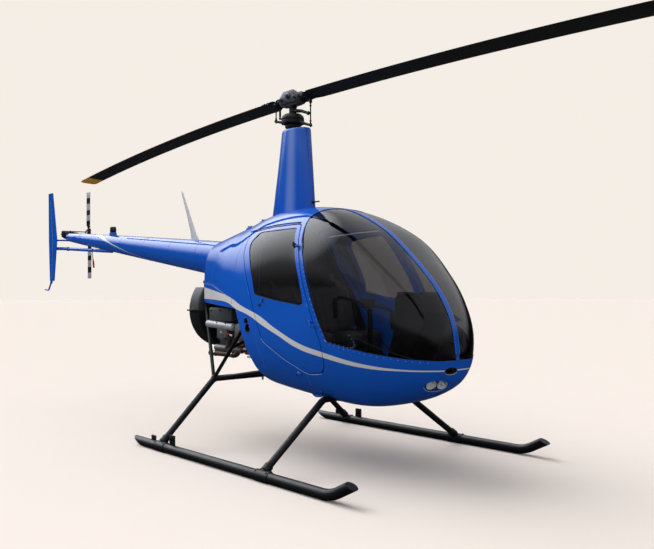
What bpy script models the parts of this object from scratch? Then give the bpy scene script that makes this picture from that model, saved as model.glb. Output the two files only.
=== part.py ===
"""Light two-seat helicopter on skids, modelled as separate pieces at their real size.

Metres, +Z up. The nose points to -Y, the port side is +X and the skids stand on Z = 0. Places along
Y are measured from the rotor mast, and the empty "mast_station" carries everything at MAST_Y."""

import math

import bmesh
import bpy
from mathutils import Matrix, Vector

# Place of the mast in the part's frame, which puts the middle of the whole length on the origin
MAST_Y = -0.372

# Walls and gaps
WALL = 0.020
COWL_WALL = 0.012
DOOR_WALL = 0.026
GLASS = 0.006
GLASS_INSET = 0.004
TOUCH = 0.0003
DOOR_GAP = 0.008
DOOR_SKIN = 0.008
DOOR_STEP = 0.012
TRIM = 0.0005

# Fineness of round things
HULL_SIDES = 40
HULL_STEPS = 3
TUBE_SIDES = 12

# Fuselage cross sections from the nose back. Columns: station along Y, half width, top, bottom,
# height of the widest point, squareness above it and below it (2 is an ellipse).
FUSELAGE = (
    (-1.655, 0.000, 0.760, 0.760, 0.760, 2.00, 2.00),
    (-1.648, 0.140, 0.862, 0.662, 0.770, 2.10, 2.10),
    (-1.610, 0.225, 1.020, 0.600, 0.840, 2.20, 2.10),
    (-1.500, 0.355, 1.205, 0.530, 0.880, 2.35, 2.20),
    (-1.300, 0.485, 1.410, 0.455, 0.980, 2.60, 2.40),
    (-1.000, 0.580, 1.645, 0.400, 1.080, 2.95, 2.50),
    (-0.600, 0.575, 1.806, 0.420, 1.000, 2.75, 2.50),
    (-0.100, 0.555, 1.822, 0.470, 0.980, 2.50, 2.45),
    (0.350, 0.445, 1.730, 0.540, 1.060, 2.55, 2.45),
    (0.750, 0.305, 1.650, 0.700, 1.200, 2.80, 2.60),
    (1.100, 0.190, 1.590, 0.950, 1.280, 2.80, 2.60),
)

# Side outlines of openings and joints. Columns: Y, Z, corner radius.
DOOR_OUTLINE = (
    (-0.600, 1.668, 0.050),
    (-0.300, 1.664, 0.400),
    (0.035, 1.640, 0.090),
    (0.020, 1.500, 0.200),
    (-0.175, 1.205, 0.500),
    (-0.345, 0.850, 0.060),
    (-0.560, 0.731, 0.500),
    (-0.780, 0.640, 0.150),
    (-0.965, 0.660, 0.120),
    (-0.975, 0.850, 0.300),
    (-0.870, 1.107, 0.600),
    (-0.735, 1.403, 0.600),
)
DOOR_WINDOW_OUTLINE = (
    (-0.575, 1.645, 0.025),
    (-0.120, 1.640, 0.080),
    (-0.030, 1.560, 0.060),
    (-0.195, 1.290, 0.300),
    (-0.245, 1.172, 0.050),
    (-0.500, 1.132, 0.500),
    (-0.832, 1.095, 0.045),
    (-0.762, 1.275, 0.500),
    (-0.650, 1.485, 0.500),
)
WINDSHIELD_OUTLINE = (
    (-0.620, 2.000, 0.000),
    (-0.620, 1.720, 0.080),
    (-0.700, 1.545, 0.400),
    (-0.780, 1.404, 0.600),
    (-0.900, 1.140, 0.600),
    (-1.030, 0.867, 0.020),
    (-1.290, 0.811, 0.600),
    (-1.510, 0.773, 0.600),
    (-1.800, 0.740, 0.000),
    (-2.000, 2.000, 0.000),
)
# What lies behind the cabin: the joint to the cowling, then the rear edge of the lower cabin
BEHIND_CABIN = (
    (0.120, 2.000, 0.000),
    (0.120, 1.070, 0.000),
    (0.040, 1.062, 0.020),
    (-0.080, 0.850, 0.100),
    (-0.130, 0.680, 0.200),
    (-0.130, 0.300, 0.000),
    (1.500, 0.300, 0.000),
    (1.500, 2.000, 0.000),
)
# The open engine bay under the cowling
UNDER_COWLING = (
    (0.000, 1.066, 0.000),
    (0.880, 1.100, 0.000),
    (1.500, 1.100, 0.000),
    (1.500, 0.300, 0.000),
    (0.000, 0.300, 0.000),
)
COWL_FRONT_Y = 0.120
COWL_REAR_Y = 0.880
BULKHEAD_WALL = 0.014
BOW_HALF_WIDTH = 0.013

# Firewall: the inner face of its bent plate from the belly up. Columns: Y, Z.
FIREWALL_THICKNESS = 0.012
FIREWALL_PROFILE = ((-0.146, 0.40), (-0.146, 0.690), (-0.098, 0.855), (0.015, 1.075), (0.090, 1.110), (0.090, 2.0))

# Cabin furniture
FLOOR_TOP = 0.560
SEAT_BOX_OUTLINE = (
    (-0.520, FLOOR_TOP + TOUCH, 0.000),
    (-0.500, 0.780, 0.030),
    (-0.165, 0.740, 0.000),
    (-0.165, FLOOR_TOP + TOUCH, 0.000),
)
SEAT_OUTLINE = (
    (-0.530, 0.7840, 0.000),
    (-0.555, 0.880, 0.050),
    (-0.290, 0.850, 0.080),
    (-0.130, 1.240, 0.050),
    (-0.060, 1.225, 0.030),
    (-0.185, 0.7428, 0.000),
)
SEAT_INNER_X = 0.035
SEAT_OUTER_X = 0.455
POD_OUTLINE = (
    (-1.495, 1.050, 0.050),
    (-1.425, 1.180, 0.040),
    (-1.245, 1.188, 0.030),
    (-1.212, 1.150, 0.020),
    (-1.190, 0.900, 0.040),
    (-1.150, 0.790, 0.020),
    (-1.150, FLOOR_TOP + TOUCH, 0.000),
    (-1.335, FLOOR_TOP + TOUCH, 0.000),
    (-1.340, 0.720, 0.050),
)
POD_HALF_WIDTH = 0.120
STICK_Y = -0.860
STICK_TOP = 1.130
PEDAL_Y = -1.375
LEVER_PIVOT = (-0.560, 0.620)

# Mast fairing. Columns: height, chord, thickness, middle along Y.
FAIRING = (
    (1.780, 0.500, 0.210, -0.002),
    (1.900, 0.465, 0.200, -0.009),
    (2.200, 0.379, 0.185, -0.026),
    (2.455, 0.315, 0.170, -0.037),
    (2.476, 0.290, 0.150, -0.038),
)
FAIRING_SIDES = 28

# Main rotor
ROTOR_RADIUS = 3.835
BLADE_CHORD = 0.183
BLADE_THICKNESS = 0.024
BLADE_ROOT = 0.205
# Each blade at rest. Columns: turn about the mast, height at the root, height at the tip, rise of the
# bow over the straight line, pitch.
BLADES = {
    "aft": (0.0, 2.725, 2.453, 0.044, math.radians(6.0)),
    "forward": (math.pi, 2.703, 2.590, 0.037, math.radians(-5.5)),
}
GRIP_START = (0.0, 0.1100, 2.723)
GRIP_MIDDLE = (0.0, 0.190, 2.714)
GRIP_END_Y = 0.300
GRIP_DROP = 0.004
SHAFT_RADIUS = 0.021
SHAFT_BOTTOM = 2.330
HUB_TOP = 2.800
HUB_LOW = 2.668
LINK_X = 0.015
LINK_Y = 0.235
LINK_LOW = {"aft": 2.587, "forward": 2.480}
HORN_Z = {"aft": 2.690, "forward": 2.668}

# Tail. The cone's columns: Y, height of its axis, radius.
TAIL_CONE = (
    (0.700, 1.446, 0.167),
    (1.290, 1.512, 0.149),
    (2.440, 1.640, 0.113),
    (3.780, 1.788, 0.068),
    (4.215, 1.836, 0.050),
    (4.265, 1.842, 0.034),
)
TAIL_ROTOR_X = 0.292
TAIL_ROTOR_Y = 4.332
TAIL_ROTOR_Z = 1.880
TAIL_ROTOR_RADIUS = 0.533
TAIL_ROTOR_CHORD = 0.102
FIN_X = -0.150
FIN_THICKNESS = 0.024
STABILISER_Z = 1.800
STABILISER_THICKNESS = 0.024

# Landing gear
TREAD = 1.900
SKID_RADIUS = 0.034
STRUT_RADIUS = 0.024
FRAME_RADIUS = 0.015
FRONT_FOOT_Y = -0.864
REAR_FOOT_Y = 0.398
FRONT_KNEE = (0.385, -0.800, 0.457)
REAR_KNEE = (0.468, 0.420, 0.504)
SKID_REAR_Y = 0.725
SKID_TIP_Y = -1.672
SKID_TIP_Z = 0.122
LUG_HALF_WIDTH = 0.006
LUG_Y = (0.205, 0.275)
LUG_TOP = 0.140
SHOE_HALF_WIDTH = 0.014
SHOE_TOP = 0.010
SHOES_Y = ((-1.250, -0.650), (0.050, 0.650))

# Engine bay
FAN_Z = 1.032
CYLINDERS_LOW = 0.790
EXHAUST_RADIUS = 0.022
EXHAUST_ROUTE = (
    (-0.250, 0.800, 0.675, 0.000),
    (-0.250, 0.420, 0.675, 0.050),
    (-0.230, 0.330, 0.850, 0.000),
)

SIDES = (("right", -1), ("left", 1))

# Door hinges: the axis runs up the front edge, clear of the skin between the hinges
HINGE_TOP = (0.539, -0.669, 1.514)
HINGE_LOW = (0.614, -0.920, 0.985)
HINGE_REACH_SHELL = 0.030
HINGE_REACH_DOOR = 0.024
HINGE_SINK = 0.008
KNUCKLE_RADIUS = 0.008
KNUCKLE_LENGTH = 0.024


# Scene and materials

def clear_scene():
    for item in list(bpy.data.objects):
        bpy.data.objects.remove(item, do_unlink=True)


def make_material(name, color, roughness, metallic=0.0, alpha=1.0):
    material = bpy.data.materials.new(name)
    material.use_nodes = True
    shader = material.node_tree.nodes["Principled BSDF"]
    shader.inputs["Base Color"].default_value = (*color, 1.0)
    shader.inputs["Roughness"].default_value = roughness
    shader.inputs["Metallic"].default_value = metallic
    shader.inputs["Alpha"].default_value = alpha
    material.diffuse_color = (*color, alpha)
    return material


def make_empty(name, place, parent=None):
    empty = bpy.data.objects.new(name, None)
    bpy.context.scene.collection.objects.link(empty)
    empty.location = place
    empty.parent = parent
    return empty


def make_object(name, bm, material=None, parent=None, smooth=True):
    """Turn a bmesh into a named object whose place stays in the parent's frame."""
    bmesh.ops.recalc_face_normals(bm, faces=bm.faces)
    mesh = bpy.data.meshes.new(name)
    bm.to_mesh(mesh)
    bm.free()
    item = bpy.data.objects.new(name, mesh)
    bpy.context.scene.collection.objects.link(item)
    dress(item, material, smooth)
    item.parent = parent
    return item


def dress(item, material, smooth=True):
    item.data.materials.clear()
    if material:
        item.data.materials.append(material)
    if smooth:
        item.data.shade_smooth()
        item.data.set_sharp_from_angle(angle=math.radians(32))


def combine(item, cutter, operation="DIFFERENCE"):
    """Apply one exact Boolean to an object and take its cutter out of the scene."""
    modifier = item.modifiers.new("cut", "BOOLEAN")
    modifier.object = cutter
    modifier.operation = operation
    modifier.solver = "EXACT"
    bpy.context.view_layer.update()
    graph = bpy.context.evaluated_depsgraph_get()
    mesh = bpy.data.meshes.new_from_object(item.evaluated_get(graph))
    item.modifiers.clear()
    bm = bmesh.new()
    bm.from_mesh(mesh)
    bmesh.ops.remove_doubles(bm, verts=bm.verts, dist=1e-6)
    bmesh.ops.dissolve_degenerate(bm, edges=bm.edges, dist=1e-6)
    bm.to_mesh(mesh)
    bm.free()
    item.data = mesh
    bpy.data.objects.remove(cutter, do_unlink=True)
    return item


def union(items):
    """Join solids that run into each other into one closed body."""
    first = items[0]
    for other in items[1:]:
        combine(first, other, "UNION")
    return first


# Outlines and solids

def wheel(count):
    """Even angles round a full turn."""
    return [2 * math.pi * k / count for k in range(count)]


def rounded(corners, steps=5):
    """Points of a closed outline whose corners (u, v, radius) become arcs."""
    points = []
    count = len(corners)
    for index, (u, v, radius) in enumerate(corners):
        here = Vector((u, v))
        before = Vector(corners[index - 1][:2]) - here
        after = Vector(corners[(index + 1) % count][:2]) - here
        if radius <= 0.0:
            points.append(here)
            continue
        half = before.angle(after) / 2
        reach = min(radius / math.tan(half), 0.48 * before.length, 0.48 * after.length)
        start = here + before.normalized() * reach
        end = here + after.normalized() * reach
        for step in range(steps + 1):
            t = step / steps
            points.append(start * (1 - t) ** 2 + here * (2 * t * (1 - t)) + end * t ** 2)
    return points


def grown(points, distance):
    """The same closed outline moved outwards by a distance (inwards where it is negative)."""
    count = len(points)
    area = sum(points[i - 1].x * points[i].y - points[i].x * points[i - 1].y for i in range(count))
    turn = 1.0 if area > 0 else -1.0
    moved = []
    for index, here in enumerate(points):
        before = (here - points[index - 1]).normalized()
        after = (points[(index + 1) % count] - here).normalized()
        normal = Vector((before.y + after.y, -before.x - after.x)) * turn
        normal.normalize()
        stretch = normal.dot(Vector((before.y, -before.x)) * turn)
        moved.append(here + normal * (distance / max(stretch, 0.35)))
    return moved


def loft(rings):
    """Closed skin through rings of equal count; a ring of one point closes to a pole."""
    bm = bmesh.new()
    made = [[bm.verts.new(point) for point in ring] for ring in rings]
    for first, second in zip(made, made[1:]):
        count = max(len(first), len(second))
        for index in range(count):
            follow = (index + 1) % count
            if len(first) == 1:
                bm.faces.new((first[0], second[index], second[follow]))
            elif len(second) == 1:
                bm.faces.new((first[index], second[0], first[follow]))
            else:
                bm.faces.new((first[index], second[index], second[follow], first[follow]))
    for ring in (made[0], made[-1]):
        if len(ring) > 2:
            bm.faces.new(ring)
    return bm


def extrude_outline(points, low, high, axis="X"):
    """Prism of an outline along X (outline in Y, Z), Y (X, Z) or Z (X, Y)."""
    place = {
        "X": lambda p, depth: (depth, p.x, p.y),
        "Y": lambda p, depth: (p.x, depth, p.y),
        "Z": lambda p, depth: (p.x, p.y, depth),
    }[axis]
    return loft([[place(point, depth) for point in points] for depth in (low, high)])


def make_prism(name, points, low, high, axis="X"):
    return make_object(name, extrude_outline(points, low, high, axis), smooth=False)


def make_box(name, low, high, bevel=0.0):
    bm = bmesh.new()
    middle = (Vector(low) + Vector(high)) / 2
    size = Vector(high) - Vector(low)
    bmesh.ops.create_cube(bm, size=1.0, matrix=Matrix.Translation(middle) @ Matrix.Diagonal((*size, 1.0)))
    if bevel:
        bmesh.ops.bevel(bm, geom=bm.edges[:], offset=bevel, segments=2, profile=0.5, affect="EDGES", material=-1)
    return make_object(name, bm)


def frame_along(direction):
    """Two unit vectors square to a direction."""
    helper = Vector((0, 0, 1)) if abs(direction.z) < 0.9 else Vector((0, 1, 0))
    side = direction.cross(helper).normalized()
    return side, side.cross(direction).normalized()


def rounded_path(corners, steps=5):
    """Points of an open path whose inner corners (x, y, z, radius) are bent like tube."""
    points = [Vector(corners[0][:3])]
    for before, here, after in zip(corners, corners[1:], corners[2:]):
        middle = Vector(here[:3])
        back = Vector(before[:3]) - middle
        ahead = Vector(after[:3]) - middle
        reach = min(here[3] / math.tan(back.angle(ahead) / 2), 0.48 * back.length, 0.48 * ahead.length)
        start = middle + back.normalized() * reach
        end = middle + ahead.normalized() * reach
        for step in range(steps + 1):
            t = step / steps
            points.append(start * (1 - t) ** 2 + middle * (2 * t * (1 - t)) + end * t ** 2)
    points.append(Vector(corners[-1][:3]))
    return points


def sweep(points, radii, sides=TUBE_SIDES):
    """Round tube along a path, its frame carried from point to point without twist."""
    points = [Vector(point) for point in points]
    if isinstance(radii, (int, float)):
        radii = [radii] * len(points)
    rings = []
    side = None
    for index, here in enumerate(points):
        before = points[max(index - 1, 0)]
        after = points[min(index + 1, len(points) - 1)]
        direction = (after - before).normalized()
        if side is None:
            side, up = frame_along(direction)
        side = (side - direction * side.dot(direction)).normalized()
        up = side.cross(direction)
        rings.append([here + (side * math.cos(a) + up * math.sin(a)) * radii[index] for a in wheel(sides)])
    return loft(rings)


def make_tube(name, points, radii, sides=TUBE_SIDES):
    return make_object(name, sweep(points, radii, sides))


def make_ring(name, outer, inner, low, high, sides=24):
    """Washer or short pipe round the mast."""
    bm = bmesh.new()
    levels = ((outer, low), (outer, high), (inner, high), (inner, low))
    rings = [[bm.verts.new((r * math.cos(a), r * math.sin(a), z)) for a in wheel(sides)] for r, z in levels]
    for first, second in zip(rings, rings[1:] + rings[:1]):
        for index in range(sides):
            follow = (index + 1) % sides
            bm.faces.new((first[index], second[index], second[follow], first[follow]))
    return make_object(name, bm)


# The fuselage skin

def section_at(t):
    """One fuselage section at a fractional row number, on a smooth curve through the rows."""
    rows = [Vector(row) for row in FUSELAGE]
    pole = rows[0]
    ghost = 2 * pole - rows[1]
    ghost[0] = rows[1][0]
    rows = [ghost] + rows + [2 * rows[-1] - rows[-2]]
    start = min(int(t), len(FUSELAGE) - 2)
    u = t - start
    a, b, c, d = rows[start:start + 4]
    return 0.5 * (2 * b + (c - a) * u + (2 * a - 5 * b + 4 * c - d) * u * u + (3 * b - a - 3 * c + d) * u ** 3)


def hull_bmesh(inset=0.0):
    """The closed outer form of cabin and cowling, or the same form moved inwards."""
    rings = []
    last = (len(FUSELAGE) - 1) * HULL_STEPS
    for step in range(last + 1):
        y, width, top, bottom, middle, square_up, square_down = section_at(step / HULL_STEPS)
        pull = max(0.0, 1.0 - step / (4 * HULL_STEPS))
        y += inset * pull
        if step == 0:
            rings.append([(0.0, y, middle)])
            continue
        width = max(width - inset, 0.004)
        top = max(top - inset, middle + 0.004)
        bottom = min(bottom + inset, middle - 0.004)
        ring = []
        for angle in wheel(HULL_SIDES):
            cos, sin = math.cos(angle), math.sin(angle)
            power = 2 / (square_up if sin >= 0 else square_down)
            height = top - middle if sin >= 0 else middle - bottom
            x = width * math.copysign(abs(cos) ** power, cos)
            z = middle + height * math.copysign(abs(sin) ** power, sin)
            ring.append((x, y, z))
        rings.append(ring)
    bm = loft(rings)
    bmesh.ops.triangulate(bm, faces=bm.faces, quad_method="FIXED")
    return bm


def hull(inset=0.0):
    return make_object("hull", hull_bmesh(inset))


def skin_point(y, z, side):
    """Point of the outer skin at a station and a height."""
    low, high = 0.0, len(FUSELAGE) - 1.0
    for _ in range(40):
        middle = (low + high) / 2
        if section_at(middle)[0] < y:
            low = middle
        else:
            high = middle
    _, width, top, bottom, waist, square_up, square_down = section_at(low)
    height, square = (top - waist, square_up) if z > waist else (waist - bottom, square_down)
    return Vector((side * width * (1 - abs((z - waist) / height) ** square) ** (1 / square), y, z))


def side_prism(outline, side, growth=0.0, inner=0.150):
    """Cutter through one side of the cabin in the shape of an outline."""
    points = rounded(outline)
    if growth:
        points = grown(points, growth)
    low, high = sorted((side * inner, side * 1.2))
    return make_prism("cutter", points, low, high)


def windshield_prism(side, growth=0.0):
    return side_prism(WINDSHIELD_OUTLINE, side, growth, inner=BOW_HALF_WIDTH - growth)


def strut_route(knee, foot_y, side):
    """From the foot on the skid up to the middle of the aircraft."""
    foot = (side * TREAD / 2, foot_y, 0.055)
    bend = (side * knee[0], knee[1], knee[2], 0.090)
    return foot, bend


def cross_tube_path(knee, foot_y):
    right_foot, right_bend = strut_route(knee, foot_y, -1)
    left_foot, left_bend = strut_route(knee, foot_y, 1)
    return rounded_path(((*right_foot, 0.0), right_bend, left_bend, (*left_foot, 0.0)))


def ahead_of_firewall():
    """Cutter for everything in front of the firewall's rear face."""
    back = FIREWALL_THICKNESS + TOUCH
    points = [Vector((y + back, z)) for y, z in FIREWALL_PROFILE]
    return make_prism("cutter", points + [Vector((-2.5, 2.0)), Vector((-2.5, 0.40))], -1.2, 1.2)


def hinge_halves(side, forward):
    """Knuckle and arm of each hinge, for the shell (forward) or for the door."""
    top = Vector((side * HINGE_TOP[0], *HINGE_TOP[1:]))
    low = Vector((side * HINGE_LOW[0], *HINGE_LOW[1:]))
    axis = (top - low).normalized() * (-1 if forward else 1)
    reach = -HINGE_REACH_SHELL if forward else HINGE_REACH_DOOR
    pieces = []
    for middle in (top, low):
        foot = skin_point(middle.y + reach, middle.z, side)
        foot.x -= side * HINGE_SINK
        knuckle = (middle + axis * TOUCH, middle + axis * KNUCKLE_LENGTH)
        pieces.append(union([
            make_tube("knuckle", knuckle, KNUCKLE_RADIUS),
            make_tube("arm", (middle + axis * KNUCKLE_LENGTH / 2, foot + axis * KNUCKLE_LENGTH / 2), 0.006, sides=8),
        ]))
    return pieces


def build_cabin(paint, trim, fabric, glass, root):
    shell = hull()
    combine(shell, hull(WALL))
    combine(shell, make_prism("cutter", rounded(BEHIND_CABIN), -1.2, 1.2))
    for _, side in SIDES:
        combine(shell, windshield_prism(side))
        combine(shell, side_prism(DOOR_OUTLINE, side, DOOR_GAP))
    front_tube = sweep(cross_tube_path(FRONT_KNEE, FRONT_FOOT_Y), STRUT_RADIUS + TOUCH)
    combine(shell, make_object("cutter", front_tube))
    for _, side in SIDES:
        union([shell, *hinge_halves(side, True)])
    shell.name = "cabin_shell"
    dress(shell, paint)
    shell.parent = root

    for name, side in SIDES:
        pane = hull(GLASS_INSET)
        combine(pane, hull(GLASS_INSET + GLASS))
        combine(pane, windshield_prism(side, -TRIM), "INTERSECT")
        pane.name = "windshield_" + name
        dress(pane, glass)
        pane.parent = root

    firewall = hull(WALL + TOUCH)
    face = [Vector(point) for point in FIREWALL_PROFILE]
    back = [Vector((y + FIREWALL_THICKNESS, z)) for y, z in reversed(FIREWALL_PROFILE)]
    combine(firewall, make_prism("cutter", face + back, -1.2, 1.2), "INTERSECT")
    firewall.name = "firewall"
    dress(firewall, trim, smooth=False)
    firewall.parent = root

    floor = hull(WALL + TOUCH)
    floor_outline = [Vector(p) for p in ((-1.55, FLOOR_TOP - 0.016), (-1.55, FLOOR_TOP),
                                         (-0.1465, FLOOR_TOP), (-0.1465, FLOOR_TOP - 0.016))]
    combine(floor, make_prism("cutter", floor_outline, -1.2, 1.2), "INTERSECT")
    floor.name = "cabin_floor"
    dress(floor, trim, smooth=False)
    floor.parent = root

    box = hull(DOOR_WALL + DOOR_GAP)
    combine(box, make_prism("cutter", rounded(SEAT_BOX_OUTLINE), -0.480, 0.480), "INTERSECT")
    box.name = "seat_box"
    dress(box, trim, smooth=False)
    box.parent = root

    for name, side in SIDES:
        low, high = sorted((side * SEAT_INNER_X, side * SEAT_OUTER_X))
        seat = extrude_outline(rounded(SEAT_OUTLINE), low, high)
        make_object("seat_" + name, seat, fabric, root)


def build_furniture(black, root):
    console = make_prism("instrument_pod", rounded(POD_OUTLINE), -POD_HALF_WIDTH, POD_HALF_WIDTH)
    dress(console, black)
    console.parent = root

    stick = [
        make_tube("cyclic_stick", ((0, STICK_Y, FLOOR_TOP + TOUCH), (0, STICK_Y, STICK_TOP)), 0.019),
        make_tube("arm", ((-0.290, STICK_Y + 0.060, 1.075), (-0.250, STICK_Y + 0.045, 1.100),
                          (0.250, STICK_Y + 0.045, 1.100), (0.290, STICK_Y + 0.060, 1.075)), 0.013),
        make_box("head", (-0.030, STICK_Y - 0.030, 1.070), (0.030, STICK_Y + 0.065, 1.140)),
    ]
    for _, side in SIDES:
        grip = ((side * 0.285, STICK_Y + 0.058, 1.082), (side * 0.285, STICK_Y + 0.050, 0.960))
        stick.append(make_tube("grip", grip, 0.018))
    cyclic = union(stick)
    dress(cyclic, black)
    cyclic.parent = root

    bar = [make_tube("pedals", ((-0.270, PEDAL_Y, 0.600), (0.270, PEDAL_Y, 0.600)), 0.012)]
    for x in (-0.250, -0.165, 0.165, 0.250):
        bar.append(make_box("pad", (x - 0.035, PEDAL_Y - 0.010, 0.592), (x + 0.035, PEDAL_Y + 0.010, 0.700), bevel=0.006))
    for x in (-0.207, 0.207):
        low = (x - 0.012, PEDAL_Y - 0.012, FLOOR_TOP + TOUCH)
        bar.append(make_box("foot", low, (x + 0.012, PEDAL_Y + 0.012, 0.605)))
    pedals = union(bar)
    dress(pedals, black)
    pedals.parent = root

    y, z = LEVER_PIVOT
    levers = [make_tube("collective_levers", ((-0.012, y, z), (0.437, y, z)), 0.012)]
    for x in (0.000, 0.425):
        reach = rounded_path(((x, y, z, 0.0), (x, -0.640, 0.700, 0.050), (x, -0.795, 0.825, 0.0)))
        levers.append(make_tube("lever", reach, 0.014))
    for x in (0.040, 0.385):
        levers.append(make_box("foot", (x - 0.012, y - 0.012, FLOOR_TOP + TOUCH), (x + 0.012, y + 0.012, z + 0.002)))
    collective = union(levers)
    dress(collective, black)
    collective.parent = root


def build_doors(paint, glass, root):
    for name, side in SIDES:
        door = hull()
        combine(door, hull(DOOR_WALL))
        combine(door, side_prism(DOOR_OUTLINE, side), "INTERSECT")
        step = hull(DOOR_SKIN)
        combine(step, side_prism(DOOR_OUTLINE, side, -DOOR_STEP, inner=0.100))
        combine(door, step)
        combine(door, side_prism(DOOR_WINDOW_OUTLINE, side))
        union([door, *hinge_halves(side, False)])
        door.name = "door_" + name
        dress(door, paint)
        door.parent = root

        pane = hull(GLASS_INSET)
        combine(pane, hull(GLASS_INSET + GLASS))
        combine(pane, side_prism(DOOR_WINDOW_OUTLINE, side, -TRIM), "INTERSECT")
        pane.name = "door_window_" + name
        dress(pane, glass)
        pane.parent = root


# Cowling, fairing and tail

def cone_ring(y, height, radius, growth=0.0, sides=24):
    return [((radius + growth) * math.cos(a), y, height + (radius + growth) * math.sin(a)) for a in wheel(sides)]


def tail_cone_bmesh(growth=0.0):
    return loft([cone_ring(*row, growth=growth) for row in TAIL_CONE])


def fairing_ring(height, chord, thickness, middle, growth=0.0):
    """Rounded nose to the front, drawn out to a thin tail."""
    ring = []
    for angle in wheel(FAIRING_SIDES):
        along = -math.cos(angle)
        taper = 1.0 - 0.30 * max(along, 0.0) ** 2
        x = (thickness / 2 + growth) * math.sin(angle) * taper
        ring.append((x, middle + (chord / 2 + growth) * along, height))
    return ring


def fairing_bmesh(growth=0.0):
    return loft([fairing_ring(*row, growth=growth) for row in FAIRING])


def build_cowling(paint, root):
    cowl = hull()
    inside = hull(COWL_WALL)
    combine(inside, make_box("cutter", (-1.2, COWL_REAR_Y - BULKHEAD_WALL, 0.0), (1.2, 2.0, 3.0)))
    combine(cowl, inside)
    combine(cowl, make_box("cutter", (-1.2, -2.0, 0.0), (1.2, COWL_FRONT_Y + TOUCH, 3.0)))
    combine(cowl, make_box("cutter", (-1.2, COWL_REAR_Y, 0.0), (1.2, 2.0, 3.0)))
    combine(cowl, make_prism("cutter", rounded(UNDER_COWLING), -1.2, 1.2))
    combine(cowl, make_object("cutter", tail_cone_bmesh(TOUCH)))
    cowl.name = "upper_cowling"
    dress(cowl, paint)
    cowl.parent = root

    fairing = make_object("mast_fairing", fairing_bmesh())
    combine(fairing, hull(-TOUCH))
    bore = make_tube("cutter", ((0, 0, SHAFT_BOTTOM - 0.02), (0, 0, 3.0)), SHAFT_RADIUS + 2 * TOUCH, sides=20)
    combine(fairing, bore)
    dress(fairing, paint)
    fairing.parent = root


def fin_bmesh(rows):
    """Thin plate with a rounded nose. Columns: height, front Y, rear Y."""
    rings = []
    for height, front, rear in rows:
        half = FIN_THICKNESS / 2
        nose = front + 0.30 * (rear - front)
        outline = ((0.0, front), (half * 0.75, front + 0.02), (half, nose), (half * 0.30, rear),
                   (-half * 0.30, rear), (-half, nose), (-half * 0.75, front + 0.02))
        rings.append([(FIN_X + x, y, height) for x, y in outline])
    return loft(rings)


def build_tail(paint, black, white, steel, root):
    make_object("tail_cone", tail_cone_bmesh(), paint, root)

    gearbox = [
        make_tube("tail_gearbox", ((0, 4.2655, 1.846), (0, 4.290, 1.860), (0, 4.375, 1.870)), (0.032, 0.048, 0.030)),
        make_tube("output", ((-0.040, TAIL_ROTOR_Y, TAIL_ROTOR_Z), (0.150, TAIL_ROTOR_Y, TAIL_ROTOR_Z)),
                  (0.042, 0.024), sides=16),
        make_tube("lever", ((0.030, 4.300, 1.880), (0.030, 4.275, 1.915), (0.225, 4.290, 1.915)), 0.007, sides=8),
    ]
    box = union(gearbox)
    bore = ((0.060, TAIL_ROTOR_Y, TAIL_ROTOR_Z), (0.200, TAIL_ROTOR_Y, TAIL_ROTOR_Z))
    combine(box, make_tube("cutter", bore, 0.0135, sides=16))
    combine(box, make_object("cutter", tail_cone_bmesh(TOUCH)))
    dress(box, black)
    box.parent = root

    half = STABILISER_THICKNESS / 2
    root_x, tip_x = 0.060, FIN_X + FIN_THICKNESS / 2 + TOUCH
    plan = [Vector(p) for p in ((tip_x, 4.235), (root_x, 4.150), (root_x, 4.330), (tip_x, 4.440))]
    low, high = STABILISER_Z - half, STABILISER_Z + half
    stabiliser = make_prism("stabiliser", plan, low, high, axis="Z")
    combine(stabiliser, make_object("cutter", tail_cone_bmesh(TOUCH)))
    dress(stabiliser, paint, smooth=False)
    stabiliser.parent = root

    upper = ((STABILISER_Z + TOUCH / 2, 4.232, 4.482), (2.280, 4.340, 4.494), (2.368, 4.362, 4.498))
    lower = ((STABILISER_Z - TOUCH / 2, 4.232, 4.482), (1.345, 4.302, 4.447), (1.315, 4.318, 4.440))
    make_object("upper_fin", fin_bmesh(upper), paint, root)
    make_object("lower_fin", fin_bmesh(lower), paint, root)

    bumper = ((FIN_X, 4.385, 1.3147, 0.0), (FIN_X, 4.480, 1.205, 0.015), (FIN_X, 4.583, 1.212, 0.0))
    skid = make_tube("tail_skid", rounded_path(bumper), 0.009)
    combine(skid, make_box("cutter", (FIN_X - 0.1, 4.2, 1.3147), (FIN_X + 0.1, 4.6, 1.4)))
    dress(skid, black)
    skid.parent = root

    rail = ((FIN_X + 0.0123, 4.300, 1.700, 0.0), (FIN_X + 0.050, 4.200, 1.697, 0.060), (0.0, 3.120, 1.628, 0.0))
    guard = make_tube("tail_guard", rounded_path(rail), 0.019)
    combine(guard, make_object("cutter", tail_cone_bmesh(TOUCH)))
    combine(guard, make_box("cutter", (FIN_X - 0.2, 4.0, 1.5), (FIN_X + FIN_THICKNESS / 2 + TOUCH, 4.6, 1.9)))
    dress(guard, paint)
    guard.parent = root

    mast = loft([
        [(0.009 * math.sin(a), 1.445 + 0.055 * math.cos(a), 1.640) for a in wheel(12)],
        [(0.009 * math.sin(a), 1.460 + 0.045 * math.cos(a), 1.720) for a in wheel(12)],
        [(0.004 * math.sin(a), 1.708 + 0.010 * math.cos(a), 2.142) for a in wheel(12)],
    ])
    antenna = make_object("whip_antenna", mast)
    combine(antenna, make_object("cutter", tail_cone_bmesh(TOUCH)))
    dress(antenna, white)
    antenna.parent = root

    lamp = make_tube("beacon", ((0, 3.100, 1.760), (0, 3.100, 1.835), (0, 3.100, 1.885), (0, 3.100, 1.899)),
                     (0.036, 0.034, 0.032, 0.020), sides=16)
    combine(lamp, make_object("cutter", tail_cone_bmesh(TOUCH)))
    dress(lamp, black)
    lamp.parent = root


# Rotors

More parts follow.
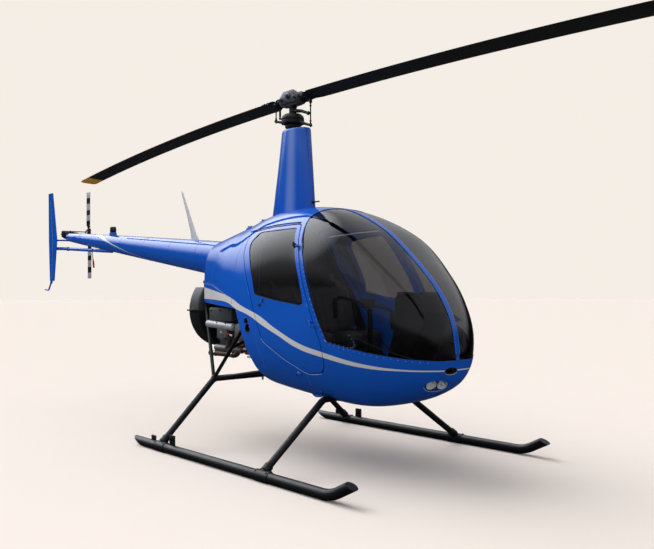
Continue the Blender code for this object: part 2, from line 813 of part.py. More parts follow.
def blade_bmesh(reach, chord, thickness, heights=(0.0, 0.0), bow=0.0, pitch=0.0, stations=4):
    """A blade that lies along +Y from root to tip (reach, heights) with its leading edge to -X."""
    rings = []
    profile = ((0.00, 0.0), (0.02, 0.30), (0.12, 0.48), (0.35, 0.50), (0.70, 0.26), (1.00, 0.03),
               (1.00, -0.03), (0.70, -0.26), (0.35, -0.50), (0.12, -0.48), (0.02, -0.30))
    for step in range(stations + 1):
        t = step / stations
        y = reach[0] + (reach[1] - reach[0]) * t
        z = heights[0] + (heights[1] - heights[0]) * t + 4 * bow * t * (1 - t)
        ring = []
        for along, high in profile:
            x, up = (along - 0.28) * chord, high * thickness
            forward = x * math.cos(pitch) + up * math.sin(pitch)
            ring.append((forward, y, z - x * math.sin(pitch) + up * math.cos(pitch)))
        rings.append(ring)
    return loft(rings)


def link_end(start, height, radii, growth=0.0):
    """Tapered arm from a start to just past the pitch link, for its end at the given height."""
    start = Vector(start)
    end = Vector((LINK_X, LINK_Y, height))
    tip = end + (end - start).normalized() * 0.014
    return sweep((start, tip), [radius + growth for radius in radii], 10)


def horn_bmesh(name, growth=0.0):
    return link_end((-0.010, 0.170, 2.705), HORN_Z[name], (0.020, 0.012), growth)


def plate_arm_bmesh(name, growth=0.0):
    return link_end((0.0, 0.060, 2.541), LINK_LOW[name], (0.016, 0.010), growth)


def build_main_rotor(black, steel, root, rotor):
    shaft = make_tube("rotor_shaft", ((0, 0, SHAFT_BOTTOM), (0, 0, HUB_LOW - TOUCH)), SHAFT_RADIUS, sides=20)
    dress(shaft, steel)
    shaft.parent = rotor

    hub = [
        make_box("rotor_hub", (-0.050, -0.120, HUB_LOW), (0.050, 0.120, 2.765), bevel=0.012),
        make_tube("bolt", ((-0.075, 0, 2.745), (0.075, 0, 2.745)), 0.024),
        make_tube("cap", ((0, 0, 2.740), (0, 0, 2.788), (0, 0, HUB_TOP)), (0.036, 0.034, 0.022)),
    ]
    head = union(hub)
    dress(head, steel)
    head.parent = rotor

    for name, (turn, root_z, tip_z, bow, pitch) in BLADES.items():
        blade = blade_bmesh((BLADE_ROOT, ROTOR_RADIUS), BLADE_CHORD, BLADE_THICKNESS, (root_z, tip_z), bow, pitch, 10)
        grip = (GRIP_START, GRIP_MIDDLE, (0, GRIP_END_Y, root_z - GRIP_DROP))
        piece = union([
            make_object("blade", blade),
            make_tube("grip", grip, (0.038, 0.036, 0.014), sides=14),
            make_object("horn", horn_bmesh(name)),
        ])
        combine(piece, make_box("cutter", (-0.2, -0.2, 2.5), (0.2, 0.120 + TOUCH, 2.9)))
        piece.data.transform(Matrix.Rotation(turn, 4, "Z"))
        piece.name = "main_blade_" + name
        dress(piece, black)
        piece.parent = rotor

    plate = [
        make_ring("swashplate_upper", 0.092, SHAFT_RADIUS + 0.0005, 2.526, 2.560),
        make_ring("dome", 0.070, SHAFT_RADIUS + 0.0020, 2.550, 2.600),
    ]
    for name, (turn, *_) in BLADES.items():
        arm = make_object("arm", plate_arm_bmesh(name))
        arm.data.transform(Matrix.Rotation(turn, 4, "Z"))
        plate.append(arm)
    upper = union(plate)
    dress(upper, black)
    upper.parent = rotor

    for name, (turn, *_) in BLADES.items():
        ends = ((LINK_X, LINK_Y, LINK_LOW[name]), (LINK_X, LINK_Y, HORN_Z[name]))
        link = make_tube("pitch_link_" + name, ends, 0.006, sides=10)
        combine(link, make_object("cutter", horn_bmesh(name, TOUCH)))
        combine(link, make_object("cutter", plate_arm_bmesh(name, TOUCH)))
        link.data.transform(Matrix.Rotation(turn, 4, "Z"))
        dress(link, black)
        link.parent = rotor

    lower = [make_ring("swashplate_lower", 0.062, SHAFT_RADIUS + 0.003, 2.494, 2.521)]
    for degrees in (90, 210, 330):
        x, y = 0.050 * math.cos(math.radians(degrees)), 0.050 * math.sin(math.radians(degrees))
        lower.append(make_tube("rod", ((x, y, FAIRING[-1][0] + TOUCH), (x, y, 2.500)), 0.009, sides=10))
    fixed = union(lower)
    dress(fixed, black)
    fixed.parent = root


def build_tail_rotor(black, steel, rotor):
    """Built on its own axis: X outwards, the blades up and down."""
    hub = [
        make_tube("tail_rotor_hub", ((-0.205, 0, 0), (0.020, 0, 0)), 0.013, sides=16),
        make_box("yoke", (-0.020, -0.022, -0.085), (0.020, 0.022, 0.085), bevel=0.006),
    ]
    head = union(hub)
    dress(head, steel)
    head.parent = rotor
    for name, turn in (("upper", 0.0), ("lower", math.pi)):
        blade = blade_bmesh((0.0855, TAIL_ROTOR_RADIUS), TAIL_ROTOR_CHORD, 0.013)
        to_axis = Matrix(((0, 0, 1, 0), (1, 0, 0, 0), (0, 1, 0, 0), (0, 0, 0, 1)))
        bmesh.ops.transform(blade, matrix=Matrix.Rotation(turn, 4, "X") @ to_axis, verts=blade.verts)
        make_object("tail_blade_" + name, blade, black, rotor)


# Engine bay

def frame_routes(side):
    """Tubes of one side of the engine frame: up behind the cowling, to the firewall's top and foot."""
    knee = (side * REAR_KNEE[0], REAR_KNEE[1], REAR_KNEE[2])
    behind_cowl = COWL_REAR_Y + FRAME_RADIUS + TOUCH
    up = (side * 0.232, behind_cowl, 1.070, 0.050)
    return (
        rounded_path((knee, up, (side * 0.240, behind_cowl, 1.275))),
        [Vector(knee), Vector((side * 0.470, -0.040, 1.020))],
        [Vector(knee), Vector((side * 0.300, -0.170, 0.600))],
    )


def build_engine(black, steel, rust, root):
    block = [
        make_box("engine", (-0.130, 0.120, 0.700), (0.130, 0.860, 1.020), bevel=0.020),
        make_box("cylinders", (-0.340, 0.160, CYLINDERS_LOW), (0.340, 0.640, 0.960), bevel=0.015),
    ]
    for _, side in SIDES:
        rear, front = frame_routes(side)[0][1], frame_routes(side)[1]
        foot = front[0].lerp(front[1], 0.50)
        low = frame_routes(side)[0][0].lerp(rear, 0.82)
        block.append(make_tube("rear_mount", ((side * 0.100, low.y, low.z), low), 0.014))
        block.append(make_tube("front_mount", ((side * 0.300, foot.y, 0.820), foot), 0.014))
    engine = union(block)
    for _, side in SIDES:
        for route in frame_routes(side)[:2]:
            combine(engine, make_object("cutter", sweep(route, FRAME_RADIUS + TOUCH)))
    dress(engine, steel)
    engine.parent = root

    scroll_y = (COWL_REAR_Y + 2 * FRAME_RADIUS + 2 * TOUCH, 1.062)
    outer = [[(0.305 * math.cos(a), y, FAN_Z + 0.318 * math.sin(a)) for a in wheel(32)] for y in scroll_y]
    scroll = make_object("fan_scroll", loft(outer))
    mouth = [[(0.185 * math.cos(a), y, FAN_Z + 0.185 * math.sin(a)) for a in wheel(24)] for y in (0.930, 1.2)]
    combine(scroll, make_object("cutter", loft(mouth)))
    combine(scroll, make_object("cutter", tail_cone_bmesh(TOUCH)))
    combine(scroll, make_box("cutter", (-1, 0.5, 1.20), (1, 1.5, 2.0)))
    dress(scroll, black)
    scroll.parent = root

    fan_axis = ((0, 0.9303, FAN_Z), (0, 0.980, FAN_Z), (0, 1.030, FAN_Z))
    fan = make_tube("fan_wheel", fan_axis, (0.170, 0.165, 0.040), sides=24)
    dress(fan, steel)
    fan.parent = root

    pipe = make_tube("exhaust", rounded_path(EXHAUST_ROUTE), EXHAUST_RADIUS)
    combine(pipe, make_box("cutter", (-1, 0, CYLINDERS_LOW - TOUCH), (1, 1, 1.2)))
    dress(pipe, rust)
    pipe.parent = root


def build_frames(black, root):
    for name, side in SIDES:
        tubes = [make_tube("engine_frame_" + name, route, FRAME_RADIUS) for route in frame_routes(side)]
        frame = union(tubes)
        combine(frame, ahead_of_firewall())
        combine(frame, make_object("cutter", sweep(cross_tube_path(REAR_KNEE, REAR_FOOT_Y), STRUT_RADIUS + TOUCH)))
        dress(frame, black)
        frame.parent = root


# Landing gear

def skid_path(side):
    x = side * TREAD / 2
    return rounded_path(((x, SKID_REAR_Y, SKID_RADIUS, 0.0), (x, -1.500, SKID_RADIUS, 0.300),
                         (x, SKID_TIP_Y, SKID_TIP_Z, 0.0)))


def build_gear(black, root):
    for name, knee, foot_y in (("front", FRONT_KNEE, FRONT_FOOT_Y), ("rear", REAR_KNEE, REAR_FOOT_Y)):
        gear = make_tube("cross_tube_" + name, cross_tube_path(knee, foot_y), STRUT_RADIUS)
        for _, side in SIDES:
            combine(gear, make_object("cutter", sweep(skid_path(side), SKID_RADIUS + TOUCH)))
        dress(gear, black)
        gear.parent = root
    for name, side in SIDES:
        x = side * TREAD / 2
        parts = [
            make_tube("skid_" + name, skid_path(side), SKID_RADIUS),
            make_box("lug", (x - LUG_HALF_WIDTH, LUG_Y[0], SKID_RADIUS), (x + LUG_HALF_WIDTH, LUG_Y[1], LUG_TOP)),
        ]
        for low, high in SHOES_Y:
            parts.append(make_box("shoe", (x - SHOE_HALF_WIDTH, low, 0.0), (x + SHOE_HALF_WIDTH, high, SHOE_TOP)))
        skid = union(parts)
        dress(skid, black)
        skid.parent = root


def main():
    clear_scene()
    paint = make_material("blue_paint", (0.012, 0.105, 0.520), 0.25)
    black = make_material("black_paint", (0.012, 0.012, 0.014), 0.45)
    white = make_material("white_paint", (0.80, 0.80, 0.80), 0.35)
    steel = make_material("bare_steel", (0.30, 0.30, 0.31), 0.40, metallic=0.9)
    rust = make_material("hot_steel", (0.085, 0.050, 0.038), 0.55, metallic=0.7)
    trim = make_material("cabin_trim", (0.045, 0.045, 0.050), 0.75)
    fabric = make_material("seat_cloth", (0.060, 0.060, 0.065), 0.85)
    glass = make_material("tinted_glass", (0.10, 0.10, 0.11), 0.05, alpha=0.45)
    root = make_empty("mast_station", (0.0, MAST_Y, 0.0))
    rotor = make_empty("main_rotor_axis", (0.0, 0.0, 0.0), root)
    tail_rotor = make_empty("tail_rotor_axis", (TAIL_ROTOR_X, TAIL_ROTOR_Y, TAIL_ROTOR_Z), root)
    build_cabin(paint, trim, fabric, glass, root)
    build_furniture(black, root)
    build_doors(paint, glass, root)
    build_cowling(paint, root)
    build_tail(paint, black, white, steel, root)
    build_main_rotor(black, steel, root, rotor)
    build_tail_rotor(black, steel, tail_rotor)
    build_engine(black, steel, rust, root)
    build_frames(black, root)
    build_gear(black, root)


main()
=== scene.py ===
"""Dressed scene of a light two-seat helicopter that stands on its skids.

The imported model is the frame. Each sub-assembly is a class whose sizes are fields. Places along the
aircraft are measured from the rotor mast, and a finished piece is moved into the model's frame."""

from __future__ import annotations

import logging
import math
import random
from dataclasses import dataclass
from enum import Enum
from typing import Callable, Iterable, Sequence

import bmesh
import bpy
import numpy as np
from mathutils import Matrix, Vector

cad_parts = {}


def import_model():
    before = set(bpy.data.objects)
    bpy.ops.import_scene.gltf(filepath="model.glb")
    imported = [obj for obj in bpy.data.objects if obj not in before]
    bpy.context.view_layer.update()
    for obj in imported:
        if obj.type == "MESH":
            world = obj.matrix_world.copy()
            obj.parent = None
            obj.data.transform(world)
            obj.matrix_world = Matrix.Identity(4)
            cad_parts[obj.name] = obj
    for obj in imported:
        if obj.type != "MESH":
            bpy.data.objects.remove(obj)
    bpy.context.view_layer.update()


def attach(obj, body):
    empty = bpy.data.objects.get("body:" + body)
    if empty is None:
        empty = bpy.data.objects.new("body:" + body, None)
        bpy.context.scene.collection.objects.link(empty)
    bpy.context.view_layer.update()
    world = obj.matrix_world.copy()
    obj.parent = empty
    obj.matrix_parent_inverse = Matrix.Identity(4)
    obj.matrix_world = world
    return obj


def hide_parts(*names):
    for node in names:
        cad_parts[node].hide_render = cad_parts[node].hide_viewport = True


LOG = logging.getLogger("helicopter")
MAST_Y = -0.372
Outline = Sequence[tuple[float, float, float]]
Point = Sequence[float]


class Side(Enum):
    """The two sides of the aircraft, with the sign of X there."""

    RIGHT = -1
    LEFT = 1

    @property
    def word(self) -> str:
        """Name of the side as the nodes spell it.

        Returns:
            The word "right" or "left".
        """
        return self.name.lower()


class Axis(Enum):
    """Direction that an outline is pushed along."""

    X = 0
    Y = 1
    Z = 2


# Outlines, curves and small maths


def rounded(corners: Outline, steps: int = 8) -> list[Vector]:
    """Points of a closed outline whose corners become arcs.

    Args:
        corners: Rows of u, v and the radius of that corner.
        steps: Pieces of each arc.

    Returns:
        The outline's points in order.
    """
    points: list[Vector] = []
    for index, (u, v, radius) in enumerate(corners):
        here = Vector((u, v))
        before = Vector(corners[index - 1][:2]) - here
        after = Vector(corners[(index + 1) % len(corners)][:2]) - here
        if radius <= 0.0:
            points.append(here)
            continue
        reach = min(radius / math.tan(before.angle(after) / 2), 0.48 * before.length, 0.48 * after.length)
        start = here + before.normalized() * reach
        end = here + after.normalized() * reach
        for step in range(steps + 1):
            t = step / steps
            points.append(start * (1 - t) ** 2 + here * (2 * t * (1 - t)) + end * t**2)
    return points


def grown(points: Sequence[Vector], distance: float) -> list[Vector]:
    """The same closed outline moved outwards, or inwards where the distance is negative.

    Args:
        points: Closed outline.
        distance: How far each edge moves.

    Returns:
        The moved outline.
    """
    count = len(points)
    area = sum(points[i - 1].x * points[i].y - points[i].x * points[i - 1].y for i in range(count))
    turn = 1.0 if area > 0 else -1.0
    moved: list[Vector] = []
    for index, here in enumerate(points):
        before = (here - points[index - 1]).normalized()
        after = (points[(index + 1) % count] - here).normalized()
        normal = (Vector((before.y + after.y, -before.x - after.x)) * turn).normalized()
        stretch = normal.dot(Vector((before.y, -before.x)) * turn)
        moved.append(here + normal * (distance / max(stretch, 0.35)))
    return moved


def bent(corners: Sequence[Point], steps: int = 8) -> list[Vector]:
    """Points of an open path whose inner corners are bent like tube.

    Args:
        corners: Rows of x, y, z and, on inner corners, a bend radius.
        steps: Pieces of each bend.

    Returns:
        The path's points in order.
    """
    points = [Vector(corners[0][:3])]
    for before, here, after in zip(corners, corners[1:], corners[2:]):
        middle = Vector(here[:3])
        back = Vector(before[:3]) - middle
        ahead = Vector(after[:3]) - middle
        reach = min(here[3] / math.tan(back.angle(ahead) / 2), 0.48 * back.length, 0.48 * ahead.length)
        start = middle + back.normalized() * reach
        end = middle + ahead.normalized() * reach
        for step in range(steps + 1):
            t = step / steps
            points.append(start * (1 - t) ** 2 + middle * (2 * t * (1 - t)) + end * t**2)
    points.append(Vector(corners[-1][:3]))
    return points


def smooth_path(points: Sequence[Point], steps: int = 6) -> list[Vector]:
    """A Catmull-Rom curve through points.

    Args:
        points: Points the curve passes.
        steps: Pieces between two points.

    Returns:
        The curve's points in order.
    """
    known = [Vector(p) for p in points]
    known = [2 * known[0] - known[1], *known, 2 * known[-1] - known[-2]]
    curve: list[Vector] = []
    for a, b, c, d in zip(known, known[1:], known[2:], known[3:]):
        for step in range(steps):
            u = step / steps
            curve.append(0.5 * (2 * b + (c - a) * u + (2 * a - 5 * b + 4 * c - d) * u * u
                                + (3 * b - a - 3 * c + d) * u**3))
    curve.append(known[-2])
    return curve


def circle(count: int) -> list[float]:
    """Even angles round a full turn.

    Args:
        count: Number of angles.

    Returns:
        The angles in radians, from 0 on.
    """
    return [2 * math.pi * k / count for k in range(count)]


def along(direction: Vector) -> Matrix:
    """Rotation that turns +Z onto a direction.

    Args:
        direction: Where +Z is to point.

    Returns:
        The rotation.
    """
    return direction.to_track_quat("Z", "Y").to_matrix().to_4x4()


# Finishes


class Nodes:
    """Small helper that lays nodes into a tree from left to right."""

    def __init__(self, tree: bpy.types.NodeTree) -> None:
        """Take the tree to fill.

        Args:
            tree: Tree that the nodes go into.
        """
        self.tree = tree

    def add(self, kind: str, settings: dict[str, object] | None = None, **values: object) -> bpy.types.Node:
        """Add a node.

        Args:
            kind: Node type without the ShaderNode prefix.
            settings: Attributes of the node itself.
            values: Inputs by name, with underscores for spaces; a socket makes a link.

        Returns:
            The new node.
        """
        node = self.tree.nodes.new("ShaderNode" + kind)
        for name, value in (settings or {}).items():
            setattr(node, name, value)
        for name, value in values.items():
            self.feed(node.inputs[name.replace("_", " ")], value)
        return node

    def feed(self, socket: bpy.types.NodeSocket, value: object) -> None:
        """Link a socket into an input, or set the input's own value.

        Args:
            socket: Input to fill.
            value: A socket to link, or a constant.
        """
        if isinstance(value, bpy.types.NodeSocket):
            self.tree.links.new(value, socket)
        else:
            socket.default_value = value

    def math(self, operation: str, *values: object) -> bpy.types.NodeSocket:
        """Result of one Math node.

        Args:
            operation: The Math node's operation.
            values: Sockets or numbers, in input order.

        Returns:
            The result's socket.
        """
        node = self.tree.nodes.new("ShaderNodeMath")
        node.operation = operation
        for socket, value in zip(node.inputs, values):
            self.feed(socket, value)
        return node.outputs[0]

    def step(self, value: object, low: float, high: float) -> bpy.types.NodeSocket:
        """Smooth step from 0 at low to 1 at high.

        Args:
            value: What is measured.
            low: Value that gives 0.
            high: Value that gives 1.

        Returns:
            The result's socket.
        """
        node = self.add("MapRange", {"interpolation_type": "SMOOTHSTEP"}, From_Min=low, From_Max=high)
        self.feed(node.inputs["Value"], value)
        return node.outputs["Result"]

    def mix(self, factor: object, first: object, second: object) -> bpy.types.NodeSocket:
        """Blend of two colours.

        Args:
            factor: Share of the second colour.
            first: Colour at 0.
            second: Colour at 1.

        Returns:
            The blend's socket.
        """
        node = self.tree.nodes.new("ShaderNodeMix")
        node.data_type = "RGBA"
        self.feed(node.inputs[0], factor)
        self.feed(node.inputs[6], first)
        self.feed(node.inputs[7], second)
        return node.outputs[2]

    def place(self) -> tuple[bpy.types.NodeSocket, ...]:
        """Object coordinates as X, Y measured from the mast, and Z.

        Returns:
            The three sockets.
        """
        coordinates = self.add("TexCoord").outputs["Object"]
        split = self.add("SeparateXYZ", Vector=coordinates)
        return split.outputs[0], self.math("SUBTRACT", split.outputs[1], MAST_Y), split.outputs[2]


def new_group(name: str, inputs: Sequence[tuple[str, str, object]], outputs: Sequence[tuple[str, str]]) -> tuple:
    """Start a node group with named sockets.

    Args:
        name: Name of the group.
        inputs: Rows of name, kind (Float or Color) and default.
        outputs: Rows of name and kind.

    Returns:
        The group, its helper, its input node and its output node.
    """
    group = bpy.data.node_groups.new(name, "ShaderNodeTree")
    for label, kind, default in inputs:
        socket = group.interface.new_socket(name=label, in_out="INPUT", socket_type="NodeSocket" + kind)
        socket.default_value = default
    for label, kind in outputs:
        group.interface.new_socket(name=label, in_out="OUTPUT", socket_type="NodeSocket" + kind)
    nodes = Nodes(group)
    return group, nodes, group.nodes.new("NodeGroupInput"), group.nodes.new("NodeGroupOutput")


class Groups:
    """Shader effects that several finishes share, each built once."""

    built: dict[str, bpy.types.NodeTree] = {}

    @classmethod
    def get(cls, name: str) -> bpy.types.NodeTree:
        """The group of that name, built on first use.

        Args:
            name: Name of the method that builds it.

        Returns:
            The group.
        """
        if name not in cls.built:
            cls.built[name] = getattr(cls, name)()
        return cls.built[name]

    @staticmethod
    def weathering() -> bpy.types.NodeTree:
        """Uneven colour and gloss with a film of dust on what faces up.

        Returns:
            The group.
        """
        group, nodes, given, out = new_group(
            "weathering",
            (("Color", "Color", (0.5, 0.5, 0.5, 1)), ("Roughness", "Float", 0.4), ("Spread", "Float", 0.1),
             ("Scale", "Float", 12.0), ("Dust", "Float", 0.0), ("Dust Color", "Color", (0.42, 0.38, 0.33, 1))),
            (("Color", "Color"), ("Roughness", "Float")))
        coordinates = nodes.add("TexCoord").outputs["Object"]
        patches = nodes.add("TexNoise", Vector=coordinates, Scale=given.outputs["Scale"], Detail=5.0)
        fine = nodes.add("TexNoise", Vector=coordinates, Scale=170.0, Detail=3.0)
        centred = nodes.math("SUBTRACT", patches.outputs["Fac"], 0.5)
        lift = nodes.math("ADD", 1.0, nodes.math("MULTIPLY", centred, given.outputs["Spread"]))
        toned = nodes.tree.nodes.new("ShaderNodeVectorMath")
        toned.operation = "SCALE"
        nodes.feed(toned.inputs[0], given.outputs["Color"])
        nodes.feed(toned.inputs["Scale"], lift)
        up = nodes.add("SeparateXYZ", Vector=nodes.add("NewGeometry").outputs["Normal"]).outputs[2]
        specks = nodes.step(fine.outputs["Fac"], 0.45, 0.75)
        film = nodes.math("MULTIPLY", nodes.step(up, 0.2, 0.95), nodes.math("ADD", 0.35, specks))
        film = nodes.math("MULTIPLY", film, given.outputs["Dust"])
        nodes.feed(out.inputs["Color"], nodes.mix(film, toned.outputs[0], given.outputs["Dust Color"]))
        rough = nodes.math("ADD", given.outputs["Roughness"],
                           nodes.math("MULTIPLY", nodes.math("ADD", centred, film), given.outputs["Spread"]))
        nodes.feed(out.inputs["Roughness"], nodes.math("MAXIMUM", rough, 0.02))
        return group

    @staticmethod
    def grain() -> bpy.types.NodeTree:
        """Height of a fine all-over grain with a slower waviness under it.

        Returns:
            The group.
        """
        group, nodes, given, out = new_group(
            "grain", (("Scale", "Float", 200.0), ("Wave", "Float", 0.3), ("Wave Scale", "Float", 6.0)),
            (("Height", "Float"),))
        coordinates = nodes.add("TexCoord").outputs["Object"]
        fine = nodes.add("TexNoise", Vector=coordinates, Scale=given.outputs["Scale"], Detail=4.0)
        slow = nodes.add("TexNoise", Vector=coordinates, Scale=given.outputs["Wave Scale"], Detail=1.0)
        height = nodes.math("ADD", fine.outputs["Fac"],
                            nodes.math("MULTIPLY", slow.outputs["Fac"], given.outputs["Wave"]))
        nodes.feed(out.inputs["Height"], height)
        return group

    @staticmethod
    def hide() -> bpy.types.NodeTree:
        """Height of leather pebbles with soft creases.

        Returns:
            The group.
        """
        group, nodes, given, out = new_group("hide", (("Scale", "Float", 240.0),), (("Height", "Float"),))
        coordinates = nodes.add("TexCoord").outputs["Object"]
        pebbles = nodes.add("TexVoronoi", {"feature": "DISTANCE_TO_EDGE"}, Vector=coordinates,
                            Scale=given.outputs["Scale"])
        creases = nodes.add("TexNoise", Vector=coordinates, Scale=14.0, Detail=6.0)
        height = nodes.math("ADD", nodes.step(pebbles.outputs["Distance"], 0.0, 0.25),
                            nodes.math("MULTIPLY", creases.outputs["Fac"], 2.5))
        nodes.feed(out.inputs["Height"], height)
        return group


@dataclass(frozen=True)
class Finish:
    """One finish of the aircraft: colour, gloss and the small structure of its surface."""

    name: str
    color: tuple[float, float, float]
    roughness: float
    metallic: float = 0.0
    coat: float = 0.0
    specular: float = 0.5
    spread: float = 0.12
    patch_scale: float = 9.0
    dust: float = 0.0
    bump: float = 0.0
    bump_scale: float = 220.0
    wave: float = 0.3
    leather: bool = False
    paint: Callable[[Nodes, object], object] | None = None

    def material(self) -> bpy.types.Material:
        """The Blender material of this finish, built on first use.

        Returns:
            The material.
        """
        found = bpy.data.materials.get(self.name)
        if found:
            return found
        made = bpy.data.materials.new(self.name)
        made.use_nodes = True
        nodes = Nodes(made.node_tree)
        shader = made.node_tree.nodes["Principled BSDF"]
        color: object = (*self.color, 1.0)
        if self.paint:
            color = self.paint(nodes, color)
        worn = nodes.add("Group", {"node_tree": Groups.get("weathering")}, Color=color, Roughness=self.roughness,
                         Spread=self.spread, Scale=self.patch_scale, Dust=self.dust)
        nodes.feed(shader.inputs["Base Color"], worn.outputs["Color"])
        nodes.feed(shader.inputs["Roughness"], worn.outputs["Roughness"])
        shader.inputs["Metallic"].default_value = self.metallic
        shader.inputs["Coat Weight"].default_value = self.coat
        shader.inputs["Coat Roughness"].default_value = 0.03
        shader.inputs["Specular IOR Level"].default_value = self.specular
        if self.bump:
            values = {"Scale": self.bump_scale} if self.leather else {"Scale": self.bump_scale, "Wave": self.wave}
            kind = Groups.get("hide" if self.leather else "grain")
            height = nodes.add("Group", {"node_tree": kind}, **values)
            bump = nodes.add("Bump", Strength=self.bump, Distance=0.001, Height=height.outputs["Height"])
            nodes.feed(shader.inputs["Normal"], bump.outputs["Normal"])
        made.diffuse_color = (*self.color, 1.0)
        return made


@dataclass(frozen=True)
class Glazing:
    """Clear or tinted acrylic, light let through by its colour."""

    name: str
    color: tuple[float, float, float]
    haze: float = 0.06
    ior: float = 1.34

    def material(self) -> bpy.types.Material:
        """The Blender material of this glazing, built on first use.

        Returns:
            The material.
        """
        found = bpy.data.materials.get(self.name)
        if found:
            return found
        made = bpy.data.materials.new(self.name)
        made.use_nodes = True
        nodes = Nodes(made.node_tree)
        shader = made.node_tree.nodes["Principled BSDF"]
        film = nodes.add("TexNoise", Vector=nodes.add("TexCoord").outputs["Object"], Scale=2.5, Detail=2.0)
        dimmed = tuple(part * (1.0 - self.haze) for part in self.color)
        nodes.feed(shader.inputs["Base Color"],
                   nodes.mix(nodes.step(film.outputs["Fac"], 0.3, 0.7), (*self.color, 1.0), (*dimmed, 1.0)))
        shader.inputs["Roughness"].default_value = 0.0
        shader.inputs["Transmission Weight"].default_value = 1.0
        shader.inputs["IOR"].default_value = self.ior
        return made


STRIPE_GREY = (0.80, 0.78, 0.77, 1.0)
STRIPE_TOP = ((0.90, 1.232), (0.80, 1.222), (0.45, 1.190), (0.169, 1.153), (-0.061, 1.090), (-0.288, 1.030),
              (-0.502, 0.938), (-0.779, 0.840), (-0.985, 0.797), (-1.268, 0.734), (-1.493, 0.706), (-1.70, 0.700))
STRIPE_LOW = ((0.90, 1.130), (0.80, 1.130), (0.45, 1.124), (0.206, 1.108), (0.036, 1.065), (-0.161, 1.025),
              (-0.353, 0.953), (-0.502, 0.899), (-0.762, 0.804), (-0.970, 0.764), (-1.268, 0.709),
              (-1.487, 0.695), (-1.70, 0.692))
STRIPE_SPAN = (-1.70, 0.90)
STRIPE_RISE = (0.60, 1.30)


def curve_height(nodes: Nodes, place: object, rows: Sequence[tuple[float, float]]) -> bpy.types.NodeSocket:
    """Height of a painted line at a station.

    Args:
        nodes: Helper of the tree.
        place: Socket with the station along Y.
        rows: Station and height of points on the line, in metres.

    Returns:
        Socket with the height in metres.
    """
    node = nodes.tree.nodes.new("ShaderNodeFloatCurve")
    curve = node.mapping.curves[0]
    spots = sorted(((y - STRIPE_SPAN[0]) / (STRIPE_SPAN[1] - STRIPE_SPAN[0]),
                    (z - STRIPE_RISE[0]) / (STRIPE_RISE[1] - STRIPE_RISE[0])) for y, z in rows)
    curve.points[0].location = spots[0]
    curve.points[1].location = spots[-1]
    for spot in spots[1:-1]:
        curve.points.new(*spot)
    node.mapping.update()
    share = nodes.math("DIVIDE", nodes.math("SUBTRACT", place, STRIPE_SPAN[0]), STRIPE_SPAN[1] - STRIPE_SPAN[0])
    nodes.feed(node.inputs["Value"], share)
    return nodes.math("ADD", nodes.math("MULTIPLY", node.outputs[0], STRIPE_RISE[1] - STRIPE_RISE[0]),
                      STRIPE_RISE[0])


def body_stripe(nodes: Nodes, color: object) -> object:
    """Swept grey stripe along the sides and round the nose.

    Args:
        nodes: Helper of the material's tree.
        color: The paint's own colour.

    Returns:
        Socket with the striped colour.
    """
    _, y, z = nodes.place()
    under = nodes.step(nodes.math("SUBTRACT", curve_height(nodes, y, STRIPE_TOP), z), -0.0008, 0.0008)
    above = nodes.step(nodes.math("SUBTRACT", z, curve_height(nodes, y, STRIPE_LOW)), -0.0008, 0.0008)
    return nodes.mix(nodes.math("MULTIPLY", under, above), color, STRIPE_GREY)


def tail_stripe(nodes: Nodes, color: object) -> object:
    """Grey band that winds down the side of the tail cone.

    Args:
        nodes: Helper of the material's tree.
        color: The paint's own colour.

    Returns:
        Socket with the banded colour.
    """
    _, y, z = nodes.place()
    fall = nodes.math("SUBTRACT", z, nodes.math("ADD", nodes.math("MULTIPLY", y, 0.1114), 1.3683))
    share = nodes.math("DIVIDE", fall, nodes.math("SUBTRACT", 0.190, nodes.math("MULTIPLY", y, 0.0325)))
    node = nodes.tree.nodes.new("ShaderNodeFloatCurve")
    curve = node.mapping.curves[0]
    spots = ((0.0, 0.0), (0.14, 0.22), (0.22, 0.34), (0.31, 0.42), (0.50, 0.560), (0.62, 0.640), (0.80, 0.730),
             (0.92, 0.800), (1.0, 0.860))
    curve.points[0].location = spots[0]
    curve.points[1].location = spots[-1]
    for spot in spots[1:-1]:
        curve.points.new(*spot)
    node.mapping.update()
    nodes.feed(node.inputs["Value"], nodes.math("MULTIPLY", nodes.math("ADD", share, 1.0), 0.5))
    middle = nodes.math("ADD", nodes.math("MULTIPLY", node.outputs[0], 1.60), 2.05)
    away = nodes.math("ABSOLUTE", nodes.math("SUBTRACT", y, middle))
    width = nodes.add("MapRange", From_Min=-0.85, From_Max=1.0, To_Min=0.008, To_Max=0.085)
    nodes.feed(width.inputs["Value"], share)
    inside = nodes.step(nodes.math("SUBTRACT", away, width.outputs["Result"]), 0.002, -0.002)
    return nodes.mix(inside, color, STRIPE_GREY)


def mast_sheen(nodes: Nodes, color: object) -> object:
    """Painted reflection: a paler upright band on the fairing's sides, ahead of their middle, in place of a bright sky
    reflected there.

    Args:
        nodes: Helper of the material's tree.
        color: The paint's own colour.

    Returns:
        Socket with the colour.
    """
    _, y, z = nodes.place()
    rise = nodes.math("SUBTRACT", z, 1.79)
    ahead = nodes.math("ADD", y, nodes.math("ADD", nodes.math("MULTIPLY", rise, 0.0517), 0.0026))
    share = nodes.math("DIVIDE", ahead, nodes.math("SUBTRACT", 0.2485, nodes.math("MULTIPLY", rise, 0.137)))
    # Band mask, blended 30 % towards pale blue: painted reflection.
    band = nodes.math("MULTIPLY", nodes.step(share, -0.62, -0.34), nodes.step(share, 0.05, -0.26))
    return nodes.mix(nodes.math("MULTIPLY", band, 0.30), color, (0.50, 0.62, 0.95, 1.0))


